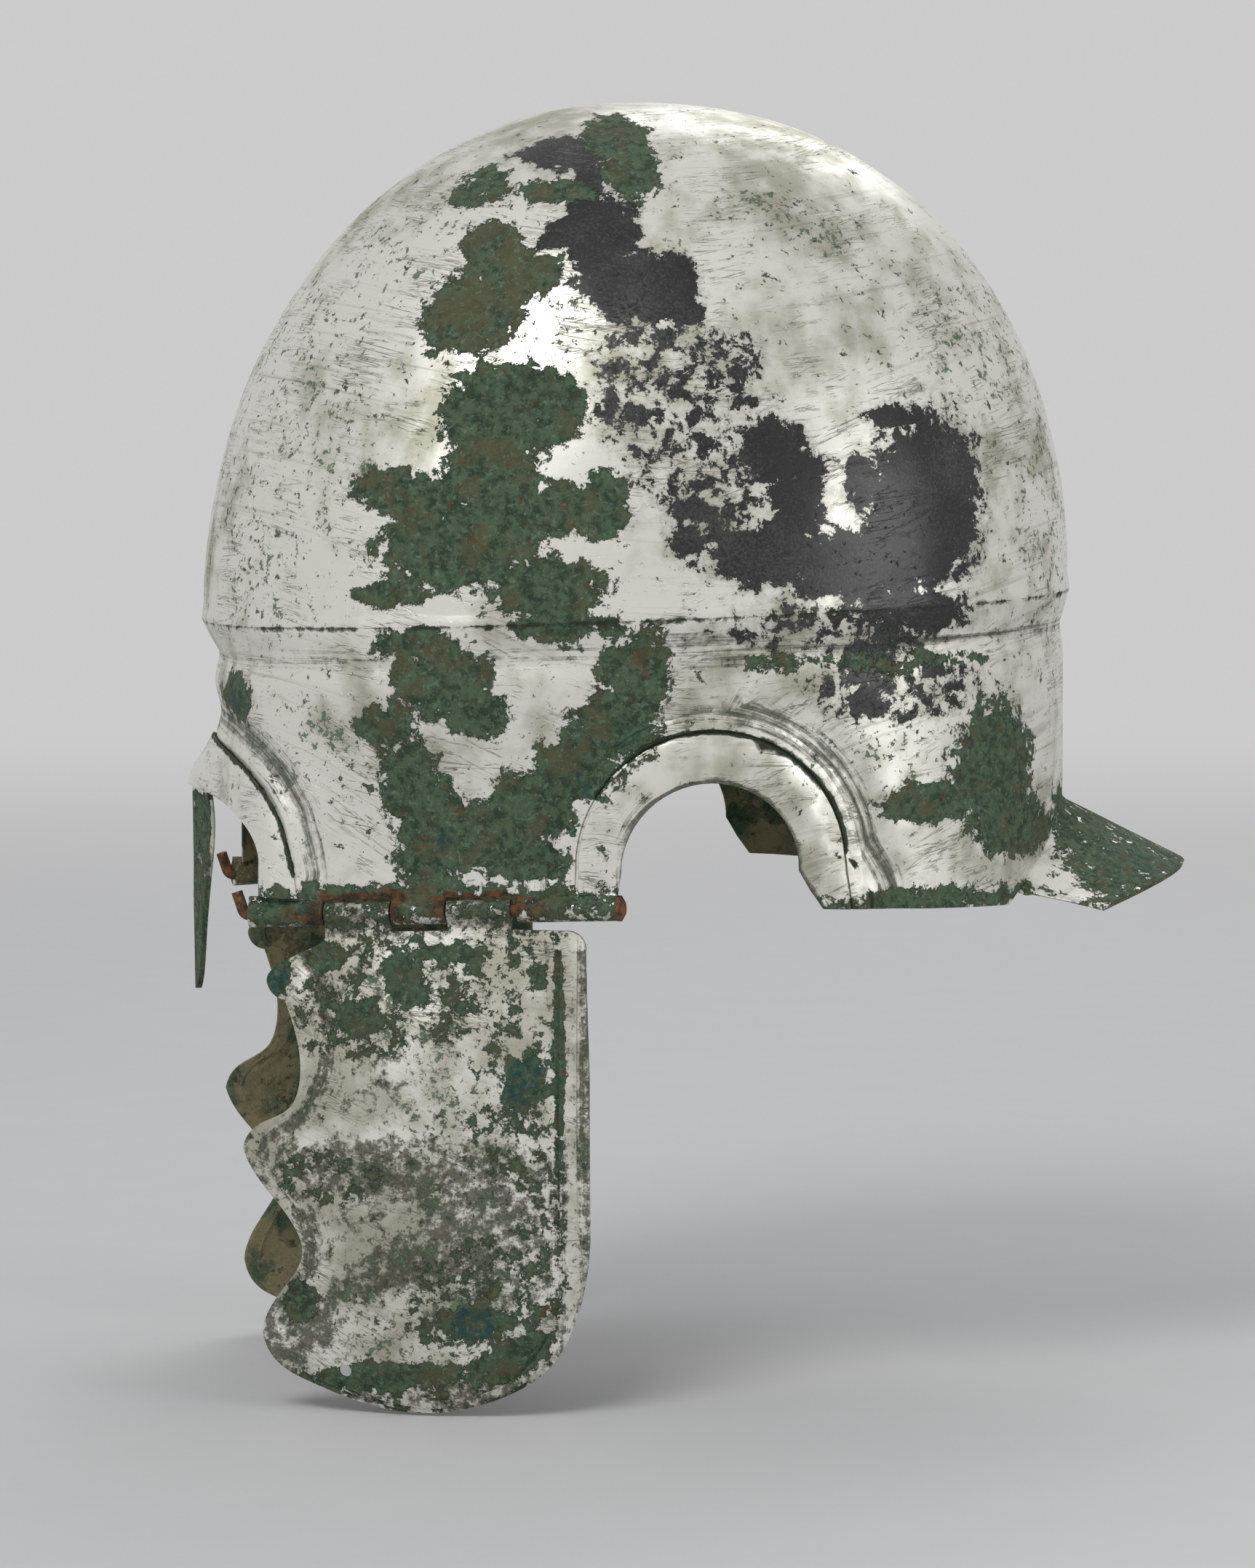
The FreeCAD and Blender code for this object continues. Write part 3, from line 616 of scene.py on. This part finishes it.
def laid(tree, mask, key, below, above):
    # The layer's colour over the one below, by the mask times the layer's cover
    return mixed(tree, times(tree, mask, layers[key][2]), below, above)


def over(tree, value, key, below, above):
    # The same, with the mask worked out from the value
    return laid(tree, maskOf(tree, value, key), key, below, above)


def sway(tree, value, key):
    # The noise less its middle, times its share
    middle, share = sways[key]
    return times(tree, minus(tree, value, middle), share)


def stroke(tree, place, key):
    # A noise stretched along the form
    stretch, kind = strokes[key]
    return noise(tree, lengthwise(tree, place, *stretch), 1, *kind)


def offMiddle(tree, place, key, middle):
    # How far a stretched noise is from the middle, to either side
    return worked(tree, "ABSOLUTE", minus(tree, stroke(tree, place, key), middle))


def brightSkin(tree, place, grain, dullness):
    # Bright skin, duller in clouds and rubbed along the form. Thin scratches run where a
    # stretched noise crosses its middle, on the worn parts
    cloudy = plus(tree, grain["broad"], times(tree, grain["cloud"], wear["dullCloud"]))
    low, high = layers["dull"][:2]
    dull = ramp(tree, cloudy, low - dullness, high - dullness)
    colour = laid(tree, dull, "dull", finish["bright"], finish["dull"])
    colour = over(tree, stroke(tree, place, "rubbed"), "rubbed", colour, finish["scratch"])
    nearest = worked(tree, "MINIMUM",
                     offMiddle(tree, place, "level", wear["levelMiddle"]),
                     offMiddle(tree, place, "slanting", wear["slantingMiddle"]))
    thin = minus(tree, 1.0, maskOf(tree, nearest, "scratch"))
    scratch = times(tree, thin, maskOf(tree, grain["worn"], "worn"))
    return laid(tree, scratch, "scratch", colour, finish["scratch"]), dull, scratch


def addGrimeAndShade(tree, place, grain, colour):
    # Grime in the hollows, and painted shade in the valleys, grooves and creases, in streaks
    # that follow the worked lines
    x, _, z = split(tree, place)
    beside = joined(tree, times(tree, x, wear["streakLength"]),
                    times(tree, z, wear["streakLength"]),
                    times(tree, field(tree, "follow"), wear["streakFollow"]))
    streaks = noise(tree, beside, *wear["streakNoise"])
    value = plus(tree, field(tree, "grimeAndShade"), sway(tree, streaks, "grimeAndShadeStreaks"))
    value = plus(tree, value, sway(tree, grain["ragged"], "grimeAndShadeRagged"))
    value = plus(tree, value, times(tree, sway(tree, grain["mottled"], "fine"),
                                    field(tree, "grimeAndShadeGrain")))
    grimeAndShade = maskOf(tree, value, "grimeAndShade")
    brown = over(tree, grain["sand"], "grimeAndShadeBrown", finish["grimeAndShadeDark"], finish["grimeAndShade"])
    brown = over(tree, grain["cloud"], "grimeAndShadeGreen", brown, finish["crustDeep"])
    return laid(tree, grimeAndShade, "grimeAndShade", colour, brown), grimeAndShade


def addPits(tree, grain, colour):
    # Pits and specks, thicker where the speck field asks for them
    value = plus(tree, grain["flecks"], times(tree, field(tree, "specks"), wear["pitShare"]))
    value = plus(tree, value, sway(tree, grain["cloud"], "pitCloud"))
    pits = maskOf(tree, value, "pits")
    pitted = over(tree, grain["cloud"], "pitGreen", finish["pit"], finish["crust"])
    return laid(tree, pits, "pits", colour, pitted), pits


def flaked(tree, grain, name):
    # The field of a patch with its edge broken by two noises
    value = plus(tree, field(tree, name), sway(tree, grain["ragged"], "ragged"))
    return plus(tree, value, sway(tree, grain["mottled"], "fine"))


def addBlack(tree, grain, colour):
    # Black tarnish with crisp flaked edges and a faint halo
    value = flaked(tree, grain, "tarnish")
    colour = over(tree, value, "halo", colour, finish["scratch"])
    black = maskOf(tree, value, "black")
    greyer = plus(tree, grain["sand"], times(tree, grain["broad"], wear["greyBroad"]))
    tarnish = over(tree, greyer, "blackGrey", finish["black"], finish["blackGrey"])
    return laid(tree, black, "black", colour, tarnish), black


def addCrust(tree, grain, colour):
    # Green crust: mottled middle, olive, pale, rust and blue spots, and a dark rim
    value = flaked(tree, grain, "crust")
    crust = maskOf(tree, value, "crust")
    green = over(tree, grain["mottled"], "crustLight", finish["crustDeep"], finish["crust"])
    olive = plus(tree, grain["cloud"], times(tree, grain["ragged"], wear["oliveRagged"]))
    olive = plus(tree, olive, field(tree, "olive"))
    green = over(tree, olive, "crustOlive", green, finish["crustOlive"])
    green = over(tree, grain["pale"], "crustPale", green, finish["crustPale"])
    green = over(tree, grain["rusty"], "crustRust", green, finish["crustRust"])
    blue = plus(tree, field(tree, "blue"), grain["bluish"])
    green = over(tree, blue, "crustBlue", green, finish["crustBlue"])
    rim = minus(tree, 1.0, maskOf(tree, value, "crustRim"))
    green = laid(tree, rim, "crustRim", green, finish["crustDeep"])
    return laid(tree, crust, "crust", colour, green), crust


def addGrooves(tree, grain, colour):
    # Worked lines filled with dark green
    value = plus(tree, field(tree, "lines"), sway(tree, grain["ragged"], "grooveRagged"))
    groove = maskOf(tree, value, "groove")
    filled = over(tree, grain["mottled"], "grooveGreen", finish["grimeAndShadeDark"],
                  finish["crustDeep"])
    return laid(tree, groove, "groove", colour, filled), groove


def addRust(tree, grain, colour):
    # Rusty brown round the hinge
    value = plus(tree, field(tree, "rust"), sway(tree, grain["ragged"], "rustRagged"))
    rust = maskOf(tree, value, "rust")
    brown = over(tree, grain["mottled"], "rustBright", finish["grimeAndShadeDark"], finish["rust"])
    return laid(tree, rust, "rust", colour, brown), rust


def oldMetal(name, dullness):
    # The layers one over the other, and the inner skin, which never had the bright coat,
    # wherever the sheet faces inward
    made, tree, shader = newMaterial(name)
    place = objectPlace(tree)
    grain = {key: noise(tree, place, *kind) for key, kind in grains.items()}
    colour, dull, scratch = brightSkin(tree, place, grain, dullness)
    # Grime over the skin, which is also painted shade in valleys, grooves and creases
    colour, grimeAndShade = addGrimeAndShade(tree, place, grain, colour)
    colour, pits = addPits(tree, grain, colour)
    colour, black = addBlack(tree, grain, colour)
    colour, crust = addCrust(tree, grain, colour)
    colour, groove = addGrooves(tree, grain, colour)
    colour, rust = addRust(tree, grain, colour)
    inner = over(tree, grain["cloud"], "innerGreen", finish["inner"], finish["innerGreen"])
    inner = over(tree, grain["mottled"], "innerDark", inner, finish["innerDark"])
    inside = field(tree, "inside")
    wire(tree, mixed(tree, inside, colour, inner), shader.inputs["Base Color"])

    matt = largest(tree, crust, grimeAndShade, groove, rust, inside, pits)
    bare = times(tree, minus(tree, 1.0, matt), minus(tree, 1.0, black), True)
    wire(tree, times(tree, bare, shine["metallic"]), shader.inputs["Metallic"])
    rough = plus(tree, shine["skinRough"], times(tree, dull, shine["dullRough"]))
    rough = minus(tree, rough, times(tree, black, shine["blackSmooth"]))
    rough = plus(tree, rough, times(tree, matt, shine["mattRough"]), True)
    wire(tree, rough, shader.inputs["Roughness"])

    height = plus(tree, heights["crustFoot"],
                  times(tree, grain["mottled"], heights["crustGrain"]))
    height = times(tree, crust, height)
    for part in (
        times(tree, grimeAndShade, times(tree, grain["sand"], heights["grimeAndShade"])),
        times(tree, scratch, heights["scratch"]),
        times(tree, pits, heights["pits"]),
        times(tree, groove, heights["groove"]),
        times(tree, inside, times(tree, grain["mottled"], heights["inside"])),
        times(tree, grain["sand"], heights["sand"]),
    ):
        height = plus(tree, height, part)
    addBump(tree, shader, height)
    return made


bowlMetal = oldMetal("tinnedBronze", 0.0)
cheekMetal = oldMetal("cheekBronze", 0.10)
print("stage: materials")


def addSheet(name, points, faces, fields, material):
    # A smooth mesh with its creases kept sharp, and one attribute for each field
    mesh = fillMesh(name, points, faces)
    mesh.shade_smooth()
    mesh.set_sharp_from_angle(angle=sheetWork["creaseAngle"])
    for key, values in fields.items():
        stored = mesh.attributes.new(key, "FLOAT", "POINT")
        stored.data.foreach_set("value", values.astype(np.float32))
    return addObject(mesh, material)


# Skull piece, in millimetres. A fold or a stain is a bell across a line: its height or
# share, its middle's distance from the line and its half-width
bowl = {
    "dent": 0.16,
    "hingeClear": 6,            # no dents this near the pin, full dents at twice that
    "heartTop": 80,             # outward is away from the head's middle line, up to here
    "guardFront": 121,
    "guardTop": 32,
    "nasalBack": -117,
    "nasalTop": 27,
    "earCentre": (11.0, 11.0),
    "earRadius": 23.6,
    "earSteps": 33,             # points on the half circle
    "earFrontFoot": 5.5,
    "earBackFoot": (6.5, 0.9),
    "browLine": [(-120, 42.6), (-116.4, 41.6), (-110.5, 36.9), (-105.8, 31.3),
                 (-101.8, 24.2), (-99.4, 16.2), (-97.5, 8)],
    "browHollow": [(-118, 50), (-108, 44.5), (-101.5, 36), (-96.5, 27), (-93.5, 17),
                   (-92.5, 6)],
    "backRim": [(41, 0.9), (88, -1.3), (98, 2.5)],
    "browBack": -90,
    "browHollowBack": -80,
    "carination": 77.5,
    "carinationSlope": 8 / 236.8,           # 8 mm over the skull's length
    # Folds of the sheet
    "earLip": (0.8, 6.5, 4.2),
    "earGroove": (-0.5, 13.45, 1.3),
    "earValley": (-1.9, 21.0, 4.2),
    "browGroove": (-0.5, 0, 1.3),
    "browValley": (-1.7, 0, 3.6),
    "ridgeLip": (0.5, 0.6, 1.6),
    "ridgeValley": (-1.1, -9.5, 4.0),
    # Stains along the lines, grime and painted shade in the valleys beside ear, brow and
    # ridge, painted shade on the shelf under the ridge, then stains on the guard, nasal,
    # hinge and foot
    "earLineStain": (1, 13.45, 0.8),
    "browLineStain": (1, 0, 0.8),
    "ridgeLineStain": (0.62, 0, 0.8),
    "lineShare": 0.9,
    # Grime and painted shade in the valleys beside the ear, the brow and the ridge
    "earGrimeAndShade": (0.66, 21.0, 4.5),
    "browGrimeAndShade": (0.66, 0, 4.5),
    "ridgeGrimeAndShade": (0.56, -8.5, 2.8),
    # Painted shade on the shelf under the ridge, which faces down
    "shelfShade": (0.46, -4, 4),
    "shelfShadeAlong": (1, 10, 35),
    "bandGrime": (0.42, 16, 1.6),
    "rimGrime": (0.80, 0, 1.7),
    "guardGrime": 0.5,
    "nasalGrime": 0.9,
    "nasalCrust": 0.55,
    "hingeGrime": (0.52, 4, 3),
    "hingeCrust": (0.42, 2, 5),
    "knuckleRust": (0.30, 3, 3),
    "notchRust": (0.85, 4.2, 1.6),
    "notches": [(19, 39), (52.5, 73)],      # along the pin
    "footGrime": (0.45, 8, 5),
    "footLine": (1.5, 0.035),
    "footBack": -8,
    "grimeAndShadeGrain": 0.5,
    # The right side has the same patches, stretched and shifted: x and z
    "rightStretch": (0.92, 1.06),
    "rightShift": (9, -11),
    # Patches are ovals in the side view: middle x, middle z, half-sizes and turn
    "crust": [(-9, 203, 8, 6, 0), (-6, 195, 7, 7, 0), (-26, 189, 9, 3, 0),
              (-42, 172, 9, 7, -30), (-50, 157, 13, 9, 30), (-35, 166, 9, 5, 20),
              (-41, 138, 12, 6, 0), (-43, 129, 15, 10, 0), (-29, 133, 7, 9, 0),
              (-45, 116, 11, 12, 0), (-66, 109, 15, 6, -10), (-42, 104, 10, 12, 0),
              (-57, 96, 17, 10, 0), (-72, 84, 9, 3, 0), (-28, 106, 9, 6, 0),
              (-17, 107, 6, 9, 0), (-33, 86, 15, 8, 0), (-29, 76, 12, 4, 0),
              (-66, 71, 10, 4, 0), (-59, 61, 12, 9, 0), (-50, 53, 8, 6, 0),
              (-73, 49, 7, 5, 0), (-9, 63, 9, 11, 0), (-15, 49, 11, 8, 0),
              (-25, 38, 11, 8, 0), (-36, 28, 11, 9, 0), (-45, 20, 11, 8, 0),
              (-60, 23, 10, 11, 0), (-67, 34, 7, 11, 0), (-62, 13, 9, 5, 0),
              (-38, 14, 11, 5, 0), (-111, 55, 3, 6, 0), (90, 37, 11, 16, 0),
              (71, 28, 13, 5, 0), (97, 19, 12, 7, 0), (63, 27, 5, 3, 0)],
    "crustBroken": [(71, 2, 30, 3, 0), (-98, -1, 12, 3, 0), (-60, 3, 46, 4, 0),
                    (-46, 190, 7, 4, 30), (48, 66, 40, 2, 0),
                    (132, 8, 18, 12, -20), (120, 20, 9, 11, 0), (142, -1, 12, 8, -15)],
    "crustBrokenTop": 0.62,
    "olive": [(-44, 165, 22, 18, 30)],
    "oliveShare": 0.12,
    "tarnish": [(-22, 199, 12, 4, 0), (-15, 176, 8, 13, -15), (-10, 165, 14, 9, -20),
                (-25, 179, 9, 2.5, 35), (-19, 189, 4, 9, -20),
                (3, 164, 6, 8, 0), (6, 157, 4, 3, 0), (27, 121, 9, 8, 0),
                (34, 110, 7, 13, 0), (27, 94, 10, 8, 0), (7, 106, 6, 3, 0),
                (4, 98, 4, 4, 0), (17, 95, 3, 7, 0), (69, 107, 15, 22, 0),
                (51, 91, 22, 9, 0), (59, 130, 6, 3, 0), (65, 79, 17, 5, 0),
                (51, 114, 4, 7, 0), (53, 65, 8, 6, 0), (51, 55, 3, 4, 0),
                (71, 64, 4, 3, 0)],
    "tarnishBroken": [(-3, 137, 14, 17, 0), (8, 124, 15, 18, 0), (16, 144, 8, 8, 0),
                      (20, 100, 16, 9, 0), (45, 75, 26, 6, 0), (60, 60, 20, 8, 0)],
    "tarnishBrokenTop": 0.38,
    "blue": [(-10, 48, 8, 8, 0), (-56, 20, 9, 6, 0), (-24, 34, 7, 7, 0),
             (-110, 55, 5, 8, 0), (132, 8, 12, 6, -20)],
    "blueShare": 0.5,
    "speckAreas": [(-95, 140, 20, 42, 20), (-104, 95, 14, 30, 0), (-60, 180, 26, 14, 30),
                   (88, 150, 20, 30, -30), (108, 105, 14, 40, 0), (40, 178, 30, 8, -25),
                   (-20, 150, 30, 16, 0), (-90, 40, 14, 20, 0), (60, 45, 24, 12, 0)],
    "speckShare": 0.20,
}


def earOutline():
    # The front foot, a half circle round the ear's centre and the back foot
    cx, cz = bowl["earCentre"]
    radius = bowl["earRadius"]
    turns = np.linspace(math.pi, 0, bowl["earSteps"])
    arch = np.stack([cx + radius * np.cos(turns), cz + radius * np.sin(turns)], axis=1)
    back, foot = bowl["earBackFoot"]
    return np.concatenate([[(cx - radius, bowl["earFrontFoot"])], arch,
                           [(cx + radius + back, foot)]])


def bowlPlaces(points, normals):
    # What the relief and the finish are worked out from, at every point. The ridge's
    # height is z less the carination's own height, which climbs evenly with x
    x, y, z = points.T
    guard = (x > bowl["guardFront"]) & (z < bowl["guardTop"])
    nasal = (x < bowl["nasalBack"]) & (z < bowl["nasalTop"])
    heart = np.stack([0 * x, 0 * x, np.minimum(z, bowl["heartTop"])], axis=1)
    outward = points - heart
    outward /= np.linalg.norm(outward, axis=1, keepdims=True)
    # Outward on the wall and dome, and upward on the neck guard
    facing = np.where(guard, normals[:, 2], (normals * outward).sum(1))
    hinge, alongHinge = hingeDistance(points)
    return {
        "x": x, "y": y, "z": z, "guard": guard, "nasal": nasal, "outward": outward,
        "inside": np.where(nasal, 0, innerShare(facing)),
        "hinge": hinge,
        "alongHinge": alongHinge,
        "free": softStep((hinge - bowl["hingeClear"]) / bowl["hingeClear"]),
        "ear": lineDistance(x, z, earOutline()),
        "brow": lineDistance(x, z, bowl["browLine"]),
        "browHollow": lineDistance(x, z, bowl["browHollow"]),
        "ridge": z - bowl["carination"] - bowl["carinationSlope"] * x,
    }


def bowlLift(points, at):
    # Dents all over, plus folds across the lines of ear, brow and ridge, which stay off
    # the guard and the nasal. Nothing moves at the hinge
    relief = fold(at["ear"], bowl["earLip"]) + fold(at["ear"], bowl["earGroove"])
    relief += fold(at["ear"], bowl["earValley"])
    hollow = at["x"] < bowl["browHollowBack"]
    relief += fold(at["browHollow"], bowl["browValley"]) * hollow
    relief += fold(at["brow"], bowl["browGroove"]) * (at["x"] < bowl["browBack"])
    relief += fold(at["ridge"], bowl["ridgeLip"]) + fold(at["ridge"], bowl["ridgeValley"])
    relief *= ~at["guard"] & ~at["nasal"]
    return (bowl["dent"] * dents(points) + relief) * at["free"]


def bowlGrimeAndShade(at):
    # The highest of the stains and painted shade along the lines, then over the guard, nasal,
    # hinge and foot
    x, z = at["x"], at["z"]
    rim = np.minimum(lineDistance(x, z, bowl["backRim"]), at["ear"])
    grimeAndShade = highest(
        # Grime and painted shade in the valleys, and painted shade on the shelf under the
        # ridge
        fold(at["ear"], bowl["earGrimeAndShade"]) + fold(at["browHollow"], bowl["browGrimeAndShade"]),
        fold(at["ridge"], bowl["ridgeGrimeAndShade"]),
        fold(at["ridge"], bowl["shelfShade"]) * fold(x, bowl["shelfShadeAlong"]),
        fold(at["ear"], bowl["bandGrime"]),
        fold(rim, bowl["rimGrime"]))
    grimeAndShade = np.where(at["nasal"], bowl["nasalGrime"], grimeAndShade)
    grimeAndShade = np.where(at["guard"], bowl["guardGrime"], grimeAndShade)
    lift, slope = bowl["footLine"]
    foot = fold(z + lift - slope * x, bowl["footGrime"])
    foot *= (x < bowl["footBack"]) & ~at["nasal"]
    return highest(grimeAndShade, fold(at["hinge"], bowl["hingeGrime"]), foot)


def bowlFields(at):
    # Every value that the finish reads
    right = at["y"] > 0
    (wide, tall), (aside, up) = bowl["rightStretch"], bowl["rightShift"]
    px = np.where(right, at["x"] * wide + aside, at["x"])
    pz = np.where(right, at["z"] * tall + up, at["z"])
    crust = highest(
        patchField(px, pz, bowl["crust"]),
        patchField(px, pz, bowl["crustBroken"], bowl["crustBrokenTop"]),
        np.where(at["nasal"], bowl["nasalCrust"], sheetWork["noPatch"]),
        fold(at["hinge"], bowl["hingeCrust"]))
    tarnish = np.maximum(
        patchField(px, pz, bowl["tarnish"]),
        patchField(px, pz, bowl["tarnishBroken"], bowl["tarnishBrokenTop"]))
    lines = highest(
        fold(at["ear"], bowl["earLineStain"]),
        fold(at["brow"], bowl["browLineStain"]) * (at["x"] < bowl["browBack"]),
        fold(at["ridge"], bowl["ridgeLineStain"]))
    # Rust stains the sheet at the notches between the knuckles most
    notch = np.zeros(len(px), bool)
    for start, end in bowl["notches"]:
        notch |= (at["alongHinge"] > start) & (at["alongHinge"] < end)
    rust = np.where(notch, fold(at["hinge"], bowl["notchRust"]),
                    fold(at["hinge"], bowl["knuckleRust"]))
    return {
        "crust": crust,
        "tarnish": tarnish,
        "blue": spotField(px, pz, bowl["blue"], bowl["blueShare"]),
        "olive": spotField(px, pz, bowl["olive"], bowl["oliveShare"]),
        "specks": spotField(px, pz, bowl["speckAreas"], bowl["speckShare"]),
        "lines": lines * bowl["lineShare"] * at["free"],
        "grimeAndShade": bowlGrimeAndShade(at),
        "rust": rust,
        "inside": at["inside"],
        "follow": lowest(at["ear"], at["brow"], np.abs(at["ridge"])),
        "grimeAndShadeGrain": np.full(len(px), bowl["grimeAndShadeGrain"]),
    }


def makeBowl():
    # Both skins move along the same direction, so the sheet keeps its thickness
    points, faces = finerSheet(*weldedSheet("bowl"))
    at = bowlPlaces(points, pointNormals(points, faces))
    points = points + at["outward"] * bowlLift(points, at)[:, None]
    made = addSheet("skullPiece", points, faces, bowlFields(at), bowlMetal)
    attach(made, "skull")
    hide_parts("bowl")
    print("stage: skull piece,", len(faces), "triangles")


makeBowl()


# Cheek-pieces: the left one's lines and patches serve the right one too
cheek = {
    "dent": 0.18,
    "hingeClear": 5,            # no dents this near the pin, full dents at twice that
    "crease": [(-95, -10), (-91, -20), (-88.2, -31.2), (-89.5, -43), (-94.5, -52.8),
               (-104.4, -61.4), (-104.4, -65.9), (-96.3, -76.5), (-92.6, -87.3),
               (-93.2, -93.1), (-101.2, -109.3)],
    "creaseFold": (-0.7, 0, 2.0),
    # Painted shade along the crease of the front bevel
    "creaseShade": (0.72, 0, 2.6),
    "backEdge": -26,
    "followEnd": 7,
    "leastGrime": 0.22,
    "grimeAndShadeGrain": 2.6,
    "noTarnish": -0.6,
    "hingeRust": (0.34, 2, 3.6),
    "hingeCrust": (0.40, 2, 6),
    "hingeGrime": (0.62, 3, 4.5),
    # The right one has the same patches, a little stretched and further back
    "rightShift": (-4, -4),
    "rightStretch": 0.95,
    "crust": [(-102, -17, 3.5, 7, 0), (-88.6, -12.2, 4.5, 4, 0), (-68.5, -17.9, 6, 7, 0),
              (-80, -27.5, 6, 5, 20), (-56, -10.5, 9, 2, 0), (-37.9, -43.7, 6, 7, 0),
              (-74.3, -123, 20, 3.6, 4), (-51.3, -107.8, 8, 5, 0), (-41.7, -117.3, 12, 5, 30),
              (-29, -36.5, 1.4, 30, 0), (-96, -103, 4, 5, 0)],
    "crustBroken": [(-72, -22, 22, 12, 15), (-42, -36, 9, 26, 0), (-48, -100, 18, 12, 30),
                    (-88, -70, 10, 6, 0), (-34, -80, 5, 40, 0), (-62, -128, 30, 5, 0)],
    "crustBrokenTop": 0.30,
    "blue": [(-102, -17, 5, 9, 0), (-37.9, -43.7, 8, 9, 0), (-51, -108, 9, 7, 0)],
    "blueShare": 0.55,
    # Grime, and painted shade in dark bands across the middle and on the back rib's groove
    # and flange
    "grimeAndShadeAreas": [(-66, -67, 40, 8, 0), (-84, -68, 14, 7, 0), (-62, -90, 27, 7, 24),
                   (-41, -93, 11, 10, 0), (-98, -110, 10, 10, 0), (-29, -88, 1.6, 32, 0),
                   (-60, -126, 34, 5, 0), (-22, -60, 1.6, 64, 0), (-45, -74, 18, 12, 20)],
    "grimeAndShadeTop": 0.60,
    "speckAreas": [(-70, -24, 26, 16, 0), (-50, -60, 24, 22, 0), (-60, -105, 32, 18, 0)],
    "speckShare": 0.28,
}


def cheekFields(points, side, hinge, crease, inside):
    # Every value that the finish reads
    px, pz = points[:, 0], points[:, 2]
    toBack = np.abs(px - cheek["backEdge"])
    none = np.zeros(len(px))
    if side > 0:
        aside, up = cheek["rightShift"]
        px = px + aside
        pz = pz * cheek["rightStretch"] + up
    return {
        "crust": highest(
            patchField(px, pz, cheek["crust"]),
            patchField(px, pz, cheek["crustBroken"], cheek["crustBrokenTop"]),
            fold(hinge, cheek["hingeCrust"])),
        "tarnish": none + cheek["noTarnish"],
        "blue": spotField(px, pz, cheek["blue"], cheek["blueShare"]),
        "specks": spotField(px, pz, cheek["speckAreas"], cheek["speckShare"]),
        "lines": none,
        # Grime, with painted shade in its areas and along the crease
        "grimeAndShade": highest(
            patchField(px, pz, cheek["grimeAndShadeAreas"], cheek["grimeAndShadeTop"]),
            fold(crease, cheek["creaseShade"]),
            fold(hinge, cheek["hingeGrime"]),
            none + cheek["leastGrime"]),
        "rust": fold(hinge, cheek["hingeRust"]),
        "inside": inside,
        "follow": lowest(crease, toBack, none + cheek["followEnd"]),
        "grimeAndShadeGrain": none + cheek["grimeAndShadeGrain"],
    }


def makeCheek(side, node):
    # Both skins move outward along Y: dents, and a fold along the notched front edge
    points, faces = finerSheet(*finerSheet(*weldedSheet(node)))
    inside = innerShare(pointNormals(points, faces)[:, 1] * side)
    x, _, z = points.T
    hinge = hingeDistance(points)[0]
    free = softStep((hinge - cheek["hingeClear"]) / cheek["hingeClear"])
    crease = lineDistance(x, z, cheek["crease"])
    fields = cheekFields(points, side, hinge, crease, inside)
    lift = cheek["dent"] * dents(points) + fold(crease, cheek["creaseFold"])
    points = points + np.stack([0 * x, side * lift * free, 0 * x], axis=1)
    made = addSheet(node.replace("_cheek", "CheekPiece"), points, faces, fields, cheekMetal)
    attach(made, node + "_piece")
    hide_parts(node)
    print("stage:", made.name + ",", len(faces), "triangles")


makeCheek(-1, "left_cheek")
makeCheek(1, "right_cheek")


# Hinge pins keep their solids and get a rusted finish
pin = {
    "dark": (0.045, 0.030, 0.020, 1),
    "rust": (0.240, 0.095, 0.035, 1),
    "pale": (0.270, 0.180, 0.110, 1),
    "patchNoise": (260, 7, 0.7),
    "grainNoise": (1900, 4, 0.7),
    "rustEdge": (0.42, 0.6),
    "paleEdge": (0.60, 0.75),
    "rough": 0.62,
    "grainRough": 0.3,
    "metallic": 0.25,
    "patchHeight": 0.25,
    "grainHeight": 0.10,
}


def finishPins():
    # Rust in patches over dark iron, with pale grains, rougher and higher where it is grainy
    made, tree, shader = newMaterial("rustedPin")
    place = objectPlace(tree)
    patchy = noise(tree, place, *pin["patchNoise"])
    grainy = noise(tree, place, *pin["grainNoise"])
    colour = mixed(tree, ramp(tree, patchy, *pin["rustEdge"]), pin["dark"], pin["rust"])
    colour = mixed(tree, ramp(tree, grainy, *pin["paleEdge"]), colour, pin["pale"])
    wire(tree, colour, shader.inputs["Base Color"])
    wire(tree, plus(tree, pin["rough"], times(tree, grainy, pin["grainRough"])),
         shader.inputs["Roughness"])
    shader.inputs["Metallic"].default_value = pin["metallic"]
    addBump(tree, shader, plus(tree, times(tree, patchy, pin["patchHeight"]),
                               times(tree, grainy, pin["grainHeight"])))
    for node in ("left_hinge_pin", "right_hinge_pin"):
        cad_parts[node].material_slots[0].material = made


finishPins()
print("stage: pins")
